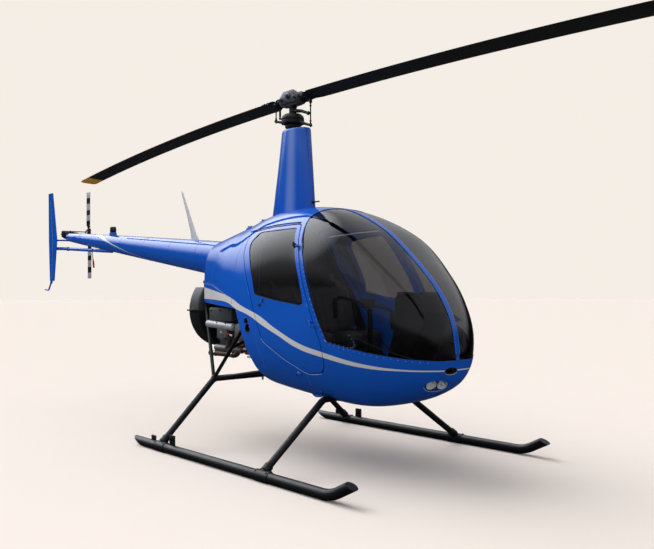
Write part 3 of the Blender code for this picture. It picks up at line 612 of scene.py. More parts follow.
def bands(rows: Sequence[tuple[float, float, tuple[float, float, float]]], upright: bool) -> Callable:
    """Painted bands across a blade, by distance from its rotor's axis.

    Args:
        rows: Near end, far end and colour of each band.
        upright: True for the tail rotor, whose blades stand along Z.

    Returns:
        The painting function of a finish.
    """

    def painted(nodes: Nodes, color: object) -> object:
        """Lay the bands over the blade's colour.

        Args:
            nodes: Helper of the material's tree.
            color: The blade's own colour.

        Returns:
            Socket with the banded colour.
        """
        _, y, z = nodes.place()
        reach = nodes.math("ABSOLUTE", nodes.math("SUBTRACT", z, 1.880) if upright else y)
        for low, high, band in rows:
            inside = nodes.math("MULTIPLY", nodes.step(reach, low - 0.0008, low + 0.0008),
                                nodes.step(reach, high + 0.0008, high - 0.0008))
            color = nodes.mix(inside, color, (*band, 1.0))
        return color

    return painted


BLUE = (0.010, 0.115, 0.600)
GLOSS = {"roughness": 0.30, "coat": 1.0, "specular": 0.0, "spread": 0.05, "patch_scale": 3.0, "bump": 0.012,
         "bump_scale": 420.0, "wave": 3.0}
PAINT = Finish("paint_body", BLUE, paint=body_stripe, **GLOSS)
PAINT_PLAIN = Finish("paint_plain", BLUE, **GLOSS)
PAINT_TAIL = Finish("paint_tail", BLUE, paint=tail_stripe, **GLOSS)
# Fairing paint with a painted reflection band on its sides.
PAINT_MAST_REFLECTION = Finish("paint_mast", BLUE, paint=mast_sheen, **GLOSS)
# Paler blue for rivet heads, thin beads, spar lines and the lamp bay's lower rim: painted highlight where their edges
# catch the light.
PAINT_HIGHLIGHT = Finish("paint_edge", (0.260, 0.430, 0.850), 0.35, coat=1.0, specular=0.0, spread=0.5,
                    patch_scale=30.0, bump=0.05)
# The body blue made brighter for faces inside the cabin: painted light that stands in for light reaching in through the
# glazing.
PAINT_INSIDE_LIT = Finish("paint_inside", (0.016, 0.180, 0.850), 0.35, coat=0.2, specular=0.0, spread=0.08, bump=0.03)
GEAR_BLACK = Finish("gear_black", (0.0060, 0.0060, 0.0070), 0.45, coat=0.12, specular=0.3, spread=0.35,
                    patch_scale=22.0, dust=0.025, bump=0.10, bump_scale=260.0)
FRAME_BLACK = Finish("frame_black", (0.0060, 0.0060, 0.0068), 0.42, coat=0.12, specular=0.3, spread=0.3,
                     patch_scale=18.0, dust=0.01, bump=0.06)
STRIPE_METAL = Finish("light_trim", (0.55, 0.55, 0.56), 0.35, metallic=0.6, spread=0.1)
SATIN_BLACK = Finish("satin_black", (0.012, 0.012, 0.013), 0.50, specular=0.35, spread=0.3, patch_scale=30.0,
                     bump=0.12)
RUBBER = Finish("rubber_seal", (0.010, 0.010, 0.010), 0.70, spread=0.2, bump=0.15, specular=0.3)
CAST_LIGHT = Finish("cast_light", (0.46, 0.46, 0.48), 0.45, metallic=0.35, spread=0.5, patch_scale=30.0, bump=0.15)
SLATE = Finish("slate_grey", (0.058, 0.064, 0.072), 0.48, spread=0.25, patch_scale=10.0, bump=0.08)
DARK_METAL = Finish("dark_metal", (0.034, 0.035, 0.038), 0.38, metallic=0.70, spread=0.5, patch_scale=35.0,
                    dust=0.05, bump=0.12)
HUB_METAL = Finish("hub_metal", (0.120, 0.124, 0.140), 0.34, metallic=0.60, spread=0.6, patch_scale=45.0, dust=0.04,
                   bump=0.15)
BARE_METAL = Finish("bare_metal", (0.42, 0.42, 0.43), 0.32, metallic=1.0, spread=0.4, patch_scale=40.0, bump=0.08)
CAST_METAL = Finish("cast_metal", (0.30, 0.30, 0.30), 0.50, metallic=0.85, spread=0.5, patch_scale=26.0,
                    dust=0.08, bump=0.35, bump_scale=330.0)
HOT_METAL = Finish("hot_metal", (0.105, 0.062, 0.045), 0.50, metallic=0.6, spread=0.8, patch_scale=26.0, bump=0.20)
RED_PART = Finish("red_part", (0.50, 0.012, 0.012), 0.42, spread=0.3, bump=0.05)
LINING = Finish("cabin_lining", (0.040, 0.040, 0.043), 0.72, spread=0.2, bump=0.30, bump_scale=520.0)
CARPET = Finish("cabin_carpet", (0.030, 0.030, 0.033), 0.95, spread=0.5, patch_scale=60.0, bump=0.9,
                bump_scale=700.0)
SEAT_HIDE = Finish("seat_leather", (0.080, 0.078, 0.083), 0.46, spread=0.25, bump=0.35, bump_scale=260.0,
                   leather=True)
BELT = Finish("belt_webbing", (0.090, 0.090, 0.095), 0.75, spread=0.2, bump=0.7, bump_scale=900.0)
WHITE = Finish("white_paint", (0.78, 0.76, 0.74), 0.32, coat=0.4, spread=0.08, bump=0.03)
LAMP_BLACK = Finish("lamp_black", (0.010, 0.010, 0.012), 0.18, coat=0.6, spread=0.1)
LAMP_SILVER = Finish("lamp_reflector", (0.93, 0.91, 0.88), 0.22, metallic=0.15, spread=0.1)
BLADE_YELLOW = (0.90, 0.380, 0.020)
BLADE = Finish("blade_black", (0.0110, 0.0092, 0.0080), 0.42, coat=0.15, spread=0.4, patch_scale=5.0, bump=0.04,
               paint=bands(((3.60, 4.2, BLADE_YELLOW),), upright=False))
BLADE_WHITE = (0.55, 0.55, 0.56)
TAIL_BLADE = Finish("tail_blade_bands", (0.010, 0.010, 0.011), 0.35, coat=0.3, spread=0.2, bump=0.03,
                    paint=bands(((0.46, 0.70, BLADE_WHITE), (0.31, 0.39, BLADE_WHITE), (0.18, 0.25, BLADE_WHITE)),
                                upright=True))
EDGE_BROWN = Finish("edge_brown", (0.30, 0.105, 0.018), 0.5, spread=0.6, patch_scale=14.0, bump=0.1)
TINT = Glazing("tinted_acrylic", (0.42, 0.41, 0.41))
CLEAR = Glazing("clear_lens", (0.93, 0.95, 0.97))


def floor_tone(nodes: Nodes, color: object) -> object:
    """Pale floor to the eye that throws little light back at the aircraft.

    Args:
        nodes: Helper of the material's tree.
        color: The floor's own colour.

    Returns:
        Socket with the colour.
    """
    path = nodes.add("LightPath")
    color = nodes.mix(path.outputs["Is Diffuse Ray"], color, (0.25, 0.245, 0.24, 1.0))
    return nodes.mix(path.outputs["Is Glossy Ray"], color, (0.03, 0.03, 0.03, 1.0))


FLOOR = Finish("studio_floor", (0.855, 0.765, 0.692), 0.85, specular=0.0, spread=0.02, patch_scale=2.0, bump=0.05,
               bump_scale=40.0, paint=floor_tone)


# Building pieces


def loft(rings: Sequence[Sequence[Point]], ends: bool = True) -> bmesh.types.BMesh:
    """Skin through rings of equal count, pushed on from ring to ring.

    Args:
        rings: Closed rings of points.
        ends: True to close both ends.

    Returns:
        The new mesh.
    """
    bm = bmesh.new()
    made = bmesh.ops.create_circle(bm, segments=len(rings[0]), radius=1.0)
    index = {vert: number for number, vert in enumerate(made["verts"])}
    for vert, number in index.items():
        vert.co = rings[0][number]
    edges = bm.edges[:]
    first = edges[:]
    for ring in rings[1:]:
        pushed = bmesh.ops.extrude_edge_only(bm, edges=edges)["geom"]
        edges = [item for item in pushed if isinstance(item, bmesh.types.BMEdge)]
        follow: dict[bmesh.types.BMVert, int] = {}
        for vert in (item for item in pushed if isinstance(item, bmesh.types.BMVert)):
            source = next(e.other_vert(vert) for e in vert.link_edges if e.other_vert(vert) in index)
            follow[vert] = index[source]
            vert.co = ring[index[source]]
        index = follow
    if ends:
        bmesh.ops.edgeloop_fill(bm, edges=first)
        bmesh.ops.edgeloop_fill(bm, edges=edges)
    bmesh.ops.remove_doubles(bm, verts=bm.verts, dist=1e-6)
    bmesh.ops.recalc_face_normals(bm, faces=bm.faces)
    return bm


def swept(points: Sequence[Point], radii: float | Sequence[float], sides: int = 16,
          squash: float = 1.0) -> bmesh.types.BMesh:
    """Round or oval bar along a path, carried from point to point without twist.

    Args:
        points: The path.
        radii: One radius, or one for each point.
        sides: Corners of the section.
        squash: Height of the section over its width.

    Returns:
        The new mesh.
    """
    path = [Vector(p) for p in points]
    sizes = [radii] * len(path) if isinstance(radii, (int, float)) else list(radii)
    rings: list[list[Vector]] = []
    side = None
    for index, here in enumerate(path):
        direction = (path[min(index + 1, len(path) - 1)] - path[max(index - 1, 0)]).normalized()
        if side is None:
            helper = Vector((0, 0, 1)) if abs(direction.z) < 0.9 else Vector((0, 1, 0))
            side = direction.cross(helper)
        side = (side - direction * side.dot(direction)).normalized()
        up = side.cross(direction)
        rings.append([here + (side * math.cos(a) + up * math.sin(a) * squash) * sizes[index]
                      for a in circle(sides)])
    return loft(rings)


def prism(points: Sequence[Vector], low: float, high: float, axis: Axis = Axis.X) -> bmesh.types.BMesh:
    """Closed outline pushed along an axis.

    Args:
        points: Outline in the other two axes, in X, Y, Z order.
        low: Start along the axis.
        high: End along the axis.
        axis: Direction of the push.

    Returns:
        The new mesh.
    """
    bm = bmesh.new()

    def lift(p: Vector) -> list[float]:
        """The outline's point at the low end.

        Args:
            p: Point of the outline.

        Returns:
            The raised point.
        """
        spot = [p.x, p.y]
        spot.insert(axis.value, low)
        return spot

    face = bm.faces.new([bm.verts.new(lift(p)) for p in points])
    pushed = bmesh.ops.extrude_face_region(bm, geom=[face])["geom"]
    shift = [0.0, 0.0, 0.0]
    shift[axis.value] = high - low
    bmesh.ops.translate(bm, verts=[v for v in pushed if isinstance(v, bmesh.types.BMVert)], vec=shift)
    bmesh.ops.recalc_face_normals(bm, faces=bm.faces)
    return bm


def turned(profile: Sequence[tuple[float, float]], place: Point = (0, 0, 0), direction: Point = (0, 0, 1),
           steps: int = 32) -> bmesh.types.BMesh:
    """Profile turned round an axis.

    Args:
        profile: Radius and height of each point.
        place: Foot of the axis.
        direction: Way the axis points.
        steps: Corners round the axis.

    Returns:
        The new mesh.
    """
    bm = bmesh.new()
    verts = [bm.verts.new((radius, 0.0, height)) for radius, height in profile]
    edges = [bm.edges.new(pair) for pair in zip(verts, verts[1:])]
    bmesh.ops.spin(bm, geom=verts + edges, cent=(0, 0, 0), axis=(0, 0, 1), angle=2 * math.pi, steps=steps,
                   use_merge=True)
    bmesh.ops.remove_doubles(bm, verts=bm.verts, dist=1e-6)
    bmesh.ops.recalc_face_normals(bm, faces=bm.faces)
    bmesh.ops.transform(bm, verts=bm.verts, matrix=Matrix.Translation(place) @ along(Vector(direction)))
    return bm


def to_object(bm: bmesh.types.BMesh, name: str = "blank") -> bpy.types.Object:
    """Put a mesh into the scene as an object and free it.

    Args:
        bm: Mesh to use up.
        name: Name of the object.

    Returns:
        The object.
    """
    mesh = bpy.data.meshes.new(name)
    bm.to_mesh(mesh)
    bm.free()
    item = bpy.data.objects.new(name, mesh)
    bpy.context.scene.collection.objects.link(item)
    return item


def combine(item: bpy.types.Object, cutter: bpy.types.Object, operation: str = "DIFFERENCE") -> bpy.types.Object:
    """Apply one exact Boolean and take the cutter away.

    Args:
        item: Object that is cut.
        cutter: Object that cuts.
        operation: DIFFERENCE, INTERSECT or UNION.

    Returns:
        The cut object.
    """
    modifier = item.modifiers.new("cut", "BOOLEAN")
    modifier.object = cutter
    modifier.operation = operation
    modifier.solver = "EXACT"
    bpy.context.view_layer.update()
    mesh = bpy.data.meshes.new_from_object(item.evaluated_get(bpy.context.evaluated_depsgraph_get()))
    item.modifiers.clear()
    item.data = mesh
    bpy.data.objects.remove(cutter, do_unlink=True)
    return item


def settle(item: bpy.types.Object, name: str, body: str, replaces: Iterable[str] = ()) -> None:
    """Move a finished piece into the model's frame and hang it on its body.

    Args:
        item: The piece, still measured from the mast.
        name: Name of the piece.
        body: Body it rides on.
        replaces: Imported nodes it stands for.
    """
    item.data.transform(Matrix.Translation((0.0, MAST_Y, 0.0)))
    item.name = name
    item.data.name = name
    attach(item, body)
    if replaces:
        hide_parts(*replaces)
    LOG.info("piece %s on %s: %d faces", name, body, len(item.data.polygons))


class Build:
    """A piece being gathered from shapes, each in one of its finishes."""

    def __init__(self, finish: Finish | Glazing) -> None:
        """Start an empty piece with its first finish.

        Args:
            finish: Finish of the first shapes.
        """
        self.bm = bmesh.new()
        self.finishes: list[Finish | Glazing] = []
        self.paint(finish)

    def paint(self, finish: Finish | Glazing) -> "Build":
        """Take another finish for the shapes that follow.

        Args:
            finish: Finish of what comes next.

        Returns:
            This piece, for chaining.
        """
        if finish not in self.finishes:
            self.finishes.append(finish)
        self.current = self.finishes.index(finish)
        return self

    def add(self, shape: bmesh.types.BMesh, bevel: float = 0.0, matrix: Matrix | None = None) -> "Build":
        """Take a shape into the piece.

        Args:
            shape: Mesh to take; it is freed.
            bevel: Width of a bevel on its sharp edges.
            matrix: Move made before it is taken.

        Returns:
            This piece.
        """
        if bevel:
            sharp = [e for e in shape.edges if len(e.link_faces) == 2 and e.calc_face_angle(0.0) > 0.6]
            bmesh.ops.bevel(shape, geom=sharp, offset=bevel, segments=2, profile=0.5, affect="EDGES", material=-1)
        if matrix:
            bmesh.ops.transform(shape, matrix=matrix, verts=shape.verts)
            if matrix.determinant() < 0:
                bmesh.ops.reverse_faces(shape, faces=shape.faces)
        for face in shape.faces:
            face.material_index = self.current
        mesh = bpy.data.meshes.new("taken")
        shape.to_mesh(mesh)
        shape.free()
        self.bm.from_mesh(mesh)
        bpy.data.meshes.remove(mesh)
        return self

    def box(self, low: Point, high: Point, bevel: float = 0.0, matrix: Matrix | None = None) -> "Build":
        """Take a box between two corners.

        Args:
            low: Lowest corner.
            high: Highest corner.
            bevel: Width of the rounded edges.
            matrix: Place of the box.

        Returns:
            This piece, for chaining.
        """
        shape = bmesh.new()
        middle = (Vector(low) + Vector(high)) / 2
        size = [abs(a - b) for a, b in zip(low, high)]
        bmesh.ops.create_cube(shape, size=1.0, matrix=Matrix.Translation(middle) @ Matrix.Diagonal((*size, 1.0)))
        return self.add(shape, bevel, matrix)

    def bar(self, points: Sequence[Point], radii: float | Sequence[float], sides: int = 16,
            squash: float = 1.0) -> "Build":
        """Take a bar along a path.

        Args:
            points: Points of the path.
            radii: One radius, or one for each point.
            sides: Sides of the section.
            squash: Thickness over width of the section.

        Returns:
            This piece, for chaining.
        """
        return self.add(swept(points, radii, sides, squash))

    def lathe(self, profile: Sequence[tuple[float, float]], place: Point = (0, 0, 0),
              direction: Point = (0, 0, 1), steps: int = 32) -> "Build":
        """Take a turned shape.

        Args:
            profile: Rows of radius and height.
            place: Where height 0 is.
            direction: Axis of the shape.
            steps: Steps round the axis.

        Returns:
            This piece, for chaining.
        """
        return self.add(turned(profile, place, direction, steps))

    def ball(self, place: Point, radius: float, scale: Point = (1, 1, 1), steps: int = 16) -> "Build":
        """Take a ball or an egg.

        Args:
            place: Centre.
            radius: Radius before scaling.
            scale: Scale along each axis.
            steps: Steps round the ball.

        Returns:
            This piece, for chaining.
        """
        shape = bmesh.new()
        matrix = Matrix.Translation(place) @ Matrix.Diagonal((*scale, 1.0))
        bmesh.ops.create_uvsphere(shape, u_segments=steps, v_segments=max(steps // 2, 4), radius=radius,
                                  matrix=matrix)
        return self.add(shape)

    def bolt(self, place: Point, direction: Point, radius: float, height: float, washer: float = 1.5) -> "Build":
        """Take a washer with a hexagonal head on it.

        Args:
            place: Seat of the bolt.
            direction: Way the head points.
            radius: Radius of the head.
            height: Height of the head.
            washer: Radius of the washer over that of the head.

        Returns:
            This piece.
        """
        lift = height * 0.25
        self.lathe(((0, 0), (radius * washer, 0), (radius * washer, lift), (0, lift)), place, direction, 14)
        spot = Vector(place) + Vector(direction).normalized() * lift
        return self.lathe(((0, 0), (radius, 0), (radius, height * 0.85), (radius * 0.8, height), (0, height)),
                          spot, direction, 6)

    def rivets(self, spots: Iterable[tuple[Vector, Vector]], radius: float) -> "Build":
        """Take a row of domed rivets.

        Args:
            spots: Place and outward direction of each rivet.
            radius: Radius of a rivet.

        Returns:
            This piece.
        """
        shape = bmesh.new()
        for place, normal in spots:
            matrix = Matrix.Translation(place) @ along(normal) @ Matrix.Diagonal((1, 1, 0.45, 1))
            bmesh.ops.create_icosphere(shape, subdivisions=1, radius=radius, matrix=matrix)
        return self.add(shape)

    def done(self, name: str, body: str, replaces: Iterable[str] = (), angle: float = 35.0,
             merge: bool = False) -> bpy.types.Object:
        """Finish the piece.

        Args:
            name: Name of the piece.
            body: Body it rides on.
            replaces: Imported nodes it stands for.
            angle: Edges sharper than this many degrees stay sharp.
            merge: True to join points that meet.

        Returns:
            The finished object.
        """
        if merge:
            bmesh.ops.remove_doubles(self.bm, verts=self.bm.verts, dist=1e-6)
        item = to_object(self.bm, name)
        for finish in self.finishes:
            item.data.materials.append(finish.material())
        item.data.shade_smooth()
        item.data.set_sharp_from_angle(angle=math.radians(angle))
        settle(item, name, body, replaces)
        return item


# Fuselage


@dataclass
class Hull:
    """The outer form of cabin and cowling as one smooth surface.

    The rows hold station, half width, top, bottom, height of the widest point, and squareness above
    and below it."""

    rows: tuple[tuple[float, ...], ...] = (
        (-1.655, 0.000, 0.760, 0.760, 0.760, 2.00, 2.00),
        (-1.648, 0.140, 0.862, 0.662, 0.770, 2.10, 2.10),
        (-1.610, 0.225, 1.020, 0.600, 0.840, 2.20, 2.10),
        (-1.500, 0.355, 1.205, 0.530, 0.880, 2.35, 2.20),
        (-1.300, 0.485, 1.410, 0.455, 0.980, 2.60, 2.40),
        (-1.000, 0.580, 1.645, 0.400, 1.080, 2.95, 2.50),
        (-0.600, 0.575, 1.806, 0.420, 1.000, 2.75, 2.50),
        (-0.100, 0.555, 1.822, 0.470, 0.980, 2.50, 2.45),
        (0.350, 0.445, 1.730, 0.540, 1.060, 2.55, 2.45),
        (0.750, 0.305, 1.650, 0.700, 1.200, 2.80, 2.60),
        (1.100, 0.190, 1.590, 0.950, 1.280, 2.80, 2.60),
    )
    sides: int = 144
    steps: int = 10

    def __post_init__(self) -> None:
        """Sample the sections closely for the lookups by station."""
        last = len(self.rows) - 1
        self.samples = np.array([self.section(last * k / 4000) for k in range(4001)])

    def section(self, t: float) -> Vector:
        """Section at a fractional row number, on a smooth curve through the rows.

        Args:
            t: Row number, with a fraction.

        Returns:
            The section's values.
        """
        rows = [Vector(row) for row in self.rows]
        ghost = 2 * rows[0] - rows[1]
        ghost[0] = rows[1][0]
        rows = [ghost] + rows + [2 * rows[-1] - rows[-2]]
        start = min(int(t), len(self.rows) - 2)
        u = t - start
        a, b, c, d = rows[start:start + 4]
        return 0.5 * (2 * b + (c - a) * u + (2 * a - 5 * b + 4 * c - d) * u * u + (3 * b - a - 3 * c + d) * u**3)

    def ring(self, t: float, inset: float) -> list[Point]:
        """Points of one section, moved inwards by an inset.

        Args:
            t: Row number, with a fraction.
            inset: Distance inwards.

        Returns:
            The ring's points.
        """
        y, width, top, bottom, waist, square_up, square_down = self.section(t)
        y += inset * max(0.0, 1.0 - t / 4)
        width = max(width - inset, 0.004)
        top = max(top - inset, waist + 0.004)
        bottom = min(bottom + inset, waist - 0.004)
        points = []
        for angle in circle(self.sides):
            cos, sin = math.cos(angle), math.sin(angle)
            power = 2 / (square_up if sin >= 0 else square_down)
            height = top - waist if sin >= 0 else waist - bottom
            points.append((width * math.copysign(abs(cos) ** power, cos), y,
                           waist + height * math.copysign(abs(sin) ** power, sin)))
        return points

    def solid(self, inset: float = 0.0) -> bpy.types.Object:
        """The hull, or the same form moved inwards, as an object.

        Args:
            inset: Distance inwards.

        Returns:
            The closed form.
        """
        last = (len(self.rows) - 1) * self.steps
        rings = [self.ring(step / self.steps, inset) for step in range(1, last + 1)]
        pole = self.section(0.0)
        tip = [(0.0, pole[0] + inset, pole[4])] * self.sides
        early = [self.ring(share / self.steps, inset) for share in (0.25, 0.5)]
        return to_object(loft([tip, *early, *rings]))

    def wall(self, outer: float, inner: float) -> bpy.types.Object:
        """Everything between two insets of the hull.

        Args:
            outer: Inset of the outer face.
            inner: Inset of the inner face.

        Returns:
            The wall.
        """
        return combine(self.solid(outer), self.solid(inner))

    def at(self, y: float) -> np.ndarray:
        """Section at a station.

        Args:
            y: Station along Y.

        Returns:
            The section's values.
        """
        return np.array([np.interp(y, self.samples[:, 0], self.samples[:, k]) for k in range(7)])

    def normals(self, places: np.ndarray) -> np.ndarray:
        """Outward directions of the hull's surface near points.

        Args:
            places: Points, one to a row.

        Returns:
            Unit vectors, one to a row.
        """

        def level(spots: np.ndarray) -> np.ndarray:
            """Value that is 0 on the surface and grows outwards.

            Args:
                spots: Places, one a row.

            Returns:
                One value for each place.
            """
            y = np.clip(spots[:, 1], self.rows[0][0] + 1e-4, self.rows[-1][0])
            _, width, top, bottom, waist, up, down = (np.interp(y, self.samples[:, 0], self.samples[:, k])
                                                      for k in range(7))
            above = spots[:, 2] >= waist
            height = np.maximum(np.where(above, top - waist, waist - bottom), 0.004)
            square = np.where(above, up, down)
            across = np.abs(spots[:, 0]) / np.maximum(width, 0.004)
            rise = np.abs(spots[:, 2] - waist) / height
            return (across**square + rise**square) ** (1 / square)

        gap = 5e-4
        slopes = [level(places + gap * step) - level(places - gap * step) for step in np.eye(3)]
        found = np.stack(slopes, axis=1)
        return found / np.maximum(np.linalg.norm(found, axis=1, keepdims=True), 1e-9)

    def point(self, y: float, z: float, side: Side, inset: float = 0.0) -> Vector:
        """Point of the skin at a station and a height.

        Args:
            y: Station along Y.
            z: Height.
            side: Side of the hull.
            inset: Distance inwards.

        Returns:
            The point.
        """
        _, width, top, bottom, waist, up, down = self.at(y)
        height, square = (top - waist, up) if z > waist else (waist - bottom, down)
        across = max(1.0 - abs((z - waist) / height) ** square, 0.0) ** (1 / square)
        place = Vector((side.value * width * across, y, z))
        return place - self.normal(place) * inset

    def crown(self, x: float, y: float, inset: float = 0.0, belly: bool = False) -> Vector:
        """Point of the roof or the belly over a place in plan.

        Args:
            x: Place across.
            y: Station along Y.
            inset: Distance inwards.
            belly: True for the underside.

        Returns:
            The point.
        """
        _, width, top, bottom, waist, up, down = self.at(y)
        square = down if belly else up
        rise = max(1.0 - abs(x / width) ** square, 0.0) ** (1 / square)
        place = Vector((x, y, waist - (waist - bottom) * rise if belly else waist + (top - waist) * rise))
        return place - self.normal(place) * inset

    def normal(self, place: Vector) -> Vector:
        """Outward direction of the surface near one point.

        Args:
            place: Point near the surface.

        Returns:
            The outward direction.
        """
        return Vector(self.normals(np.array([place], float))[0])

    def shade(self, item: bpy.types.Object, inner: int | None = None, ahead: float = -9.0) -> None:
        """Give a cut piece of the hull the whole surface's smooth shading.

        Args:
            item: The piece, measured from the mast.
            inner: Index of the finish for faces that look inwards.
            ahead: Station from which on forwards cut edges take that finish too.
        """
        mesh = item.data
        count = len(mesh.loops)
        places = np.zeros(len(mesh.vertices) * 3)
        mesh.vertices.foreach_get("co", places)
        smooth = self.normals(places.reshape(-1, 3))
        verts = np.zeros(count, int)
        mesh.loops.foreach_get("vertex_index", verts)
        flat = np.zeros(len(mesh.polygons) * 3)
        mesh.polygons.foreach_get("normal", flat)
        flat = flat.reshape(-1, 3)
        totals = np.zeros(len(mesh.polygons), int)
        mesh.polygons.foreach_get("loop_total", totals)
        owner = np.repeat(np.arange(len(mesh.polygons)), totals)
        wanted = smooth[verts]
        faces = flat[owner]
        lean = (wanted * faces).sum(axis=1)
        result = np.where(lean[:, None] > 0.8, wanted, np.where(lean[:, None] < -0.8, -wanted, faces))
        mesh.shade_smooth()
        mesh.normals_split_custom_set(result.tolist())
        if inner is not None:
            facing = np.zeros(len(mesh.polygons))
            np.add.at(facing, owner, lean / totals[owner])
            centres = np.zeros(len(mesh.polygons) * 3)
            mesh.polygons.foreach_get("center", centres)
            hidden = (facing < -0.8) | ((facing < 0.8) & (centres[1::3] < ahead))
            mesh.polygons.foreach_set("material_index", np.where(hidden, inner, 0).astype(np.int32))

    def line(self, spots: Sequence[tuple[float, float]], side: Side, inset: float = 0.0,
             gap: float = 0.02) -> list[Vector]:
        """Line on the skin through stations and heights, in short steps.

        Args:
            spots: Rows of station and height.
            side: Side of the hull.
            inset: Distance inwards.
            gap: Length of a step.

        Returns:
            The line's points.
        """
        points: list[Vector] = []
        for (y0, z0), (y1, z1) in zip(spots, spots[1:]):
            count = max(1, round(math.hypot(y1 - y0, z1 - z0) / gap))
            points += [self.point(y0 + (y1 - y0) * k / count, z0 + (z1 - z0) * k / count, side, inset)
                       for k in range(count)]
        return points + [self.point(*spots[-1], side, inset)]


WALL = 0.020
COWL_WALL = 0.012
DOOR_WALL = 0.026
DOOR_GAP = 0.008
DOOR_SKIN = 0.008
DOOR_STEP = 0.012
PANE_INSET = 0.004
PANE = 0.006
TRIM = 0.0005
BOW_HALF_WIDTH = 0.013
BOW_COVER = 0.023
DOOR_OUTLINE: Outline = (
    (-0.600, 1.668, 0.050), (-0.300, 1.664, 0.400), (0.035, 1.640, 0.090), (0.020, 1.500, 0.200),
    (-0.175, 1.205, 0.500), (-0.345, 0.850, 0.060), (-0.560, 0.731, 0.500), (-0.780, 0.640, 0.150),
    (-0.965, 0.660, 0.120), (-0.975, 0.850, 0.300), (-0.870, 1.107, 0.600), (-0.735, 1.403, 0.600))
DOOR_WINDOW_OUTLINE: Outline = (
    (-0.575, 1.645, 0.025), (-0.120, 1.640, 0.080), (-0.030, 1.560, 0.060), (-0.195, 1.290, 0.300),
    (-0.245, 1.172, 0.050), (-0.500, 1.132, 0.500), (-0.832, 1.095, 0.045), (-0.762, 1.275, 0.500),
    (-0.650, 1.485, 0.500))
DOOR_FRAME_INSET = 0.014
DOOR_LIGHT_OUTLINE: Outline = (
    (-0.590, 1.630, 0.030), (-0.400, 1.622, 0.300), (-0.182, 1.596, 0.070), (-0.215, 1.430, 0.300),
    (-0.268, 1.260, 0.100), (-0.262, 1.188, 0.030), (-0.500, 1.150, 0.500), (-0.815, 1.112, 0.035),
    (-0.752, 1.275, 0.500), (-0.645, 1.485, 0.500))
WINDSHIELD_EDGE: Outline = (
    (-0.620, 1.720, 0.080), (-0.700, 1.545, 0.400), (-0.780, 1.404, 0.600), (-0.900, 1.140, 0.600),
    (-1.030, 0.867, 0.020), (-1.290, 0.811, 0.600), (-1.510, 0.773, 0.600))
WINDSHIELD_OUTLINE: Outline = (
    (-0.620, 2.000, 0.000), *WINDSHIELD_EDGE, (-1.800, 0.740, 0.000), (-2.000, 2.000, 0.000))
BEHIND_CABIN: Outline = (
    (0.120, 2.000, 0.000), (0.120, 1.070, 0.000), (0.040, 1.062, 0.020), (-0.080, 0.850, 0.100),
    (-0.130, 0.680, 0.200), (-0.130, 0.300, 0.000), (1.500, 0.300, 0.000), (1.500, 2.000, 0.000))
SURROUND_END: Outline = ((-2.0, 0.2, 0.0), (-2.0, 1.02, 0.0), (-0.85, 1.02, 0.0), (-0.85, 0.2, 0.0))
UNDER_COWLING: Outline = (
    (0.000, 1.066, 0.000), (0.880, 1.100, 0.000), (1.500, 1.100, 0.000), (1.500, 0.300, 0.000),
    (0.000, 0.300, 0.000))


def side_cutter(outline: Outline, side: Side, growth: float = 0.0, inner: float = 0.150) -> bpy.types.Object:
    """Cutter through one side of the cabin in the shape of an outline.

    Args:
        outline: Outline in station and height.
        side: Side that is cut.
        growth: Distance that the outline grows.
        inner: Where the cutter ends, near the middle.

    Returns:
        The cutter.
    """
    points = rounded(outline)
    if growth:
        points = grown(points, growth)
    low, high = sorted((side.value * inner, side.value * 1.2))
    return to_object(prism(points, low, high))


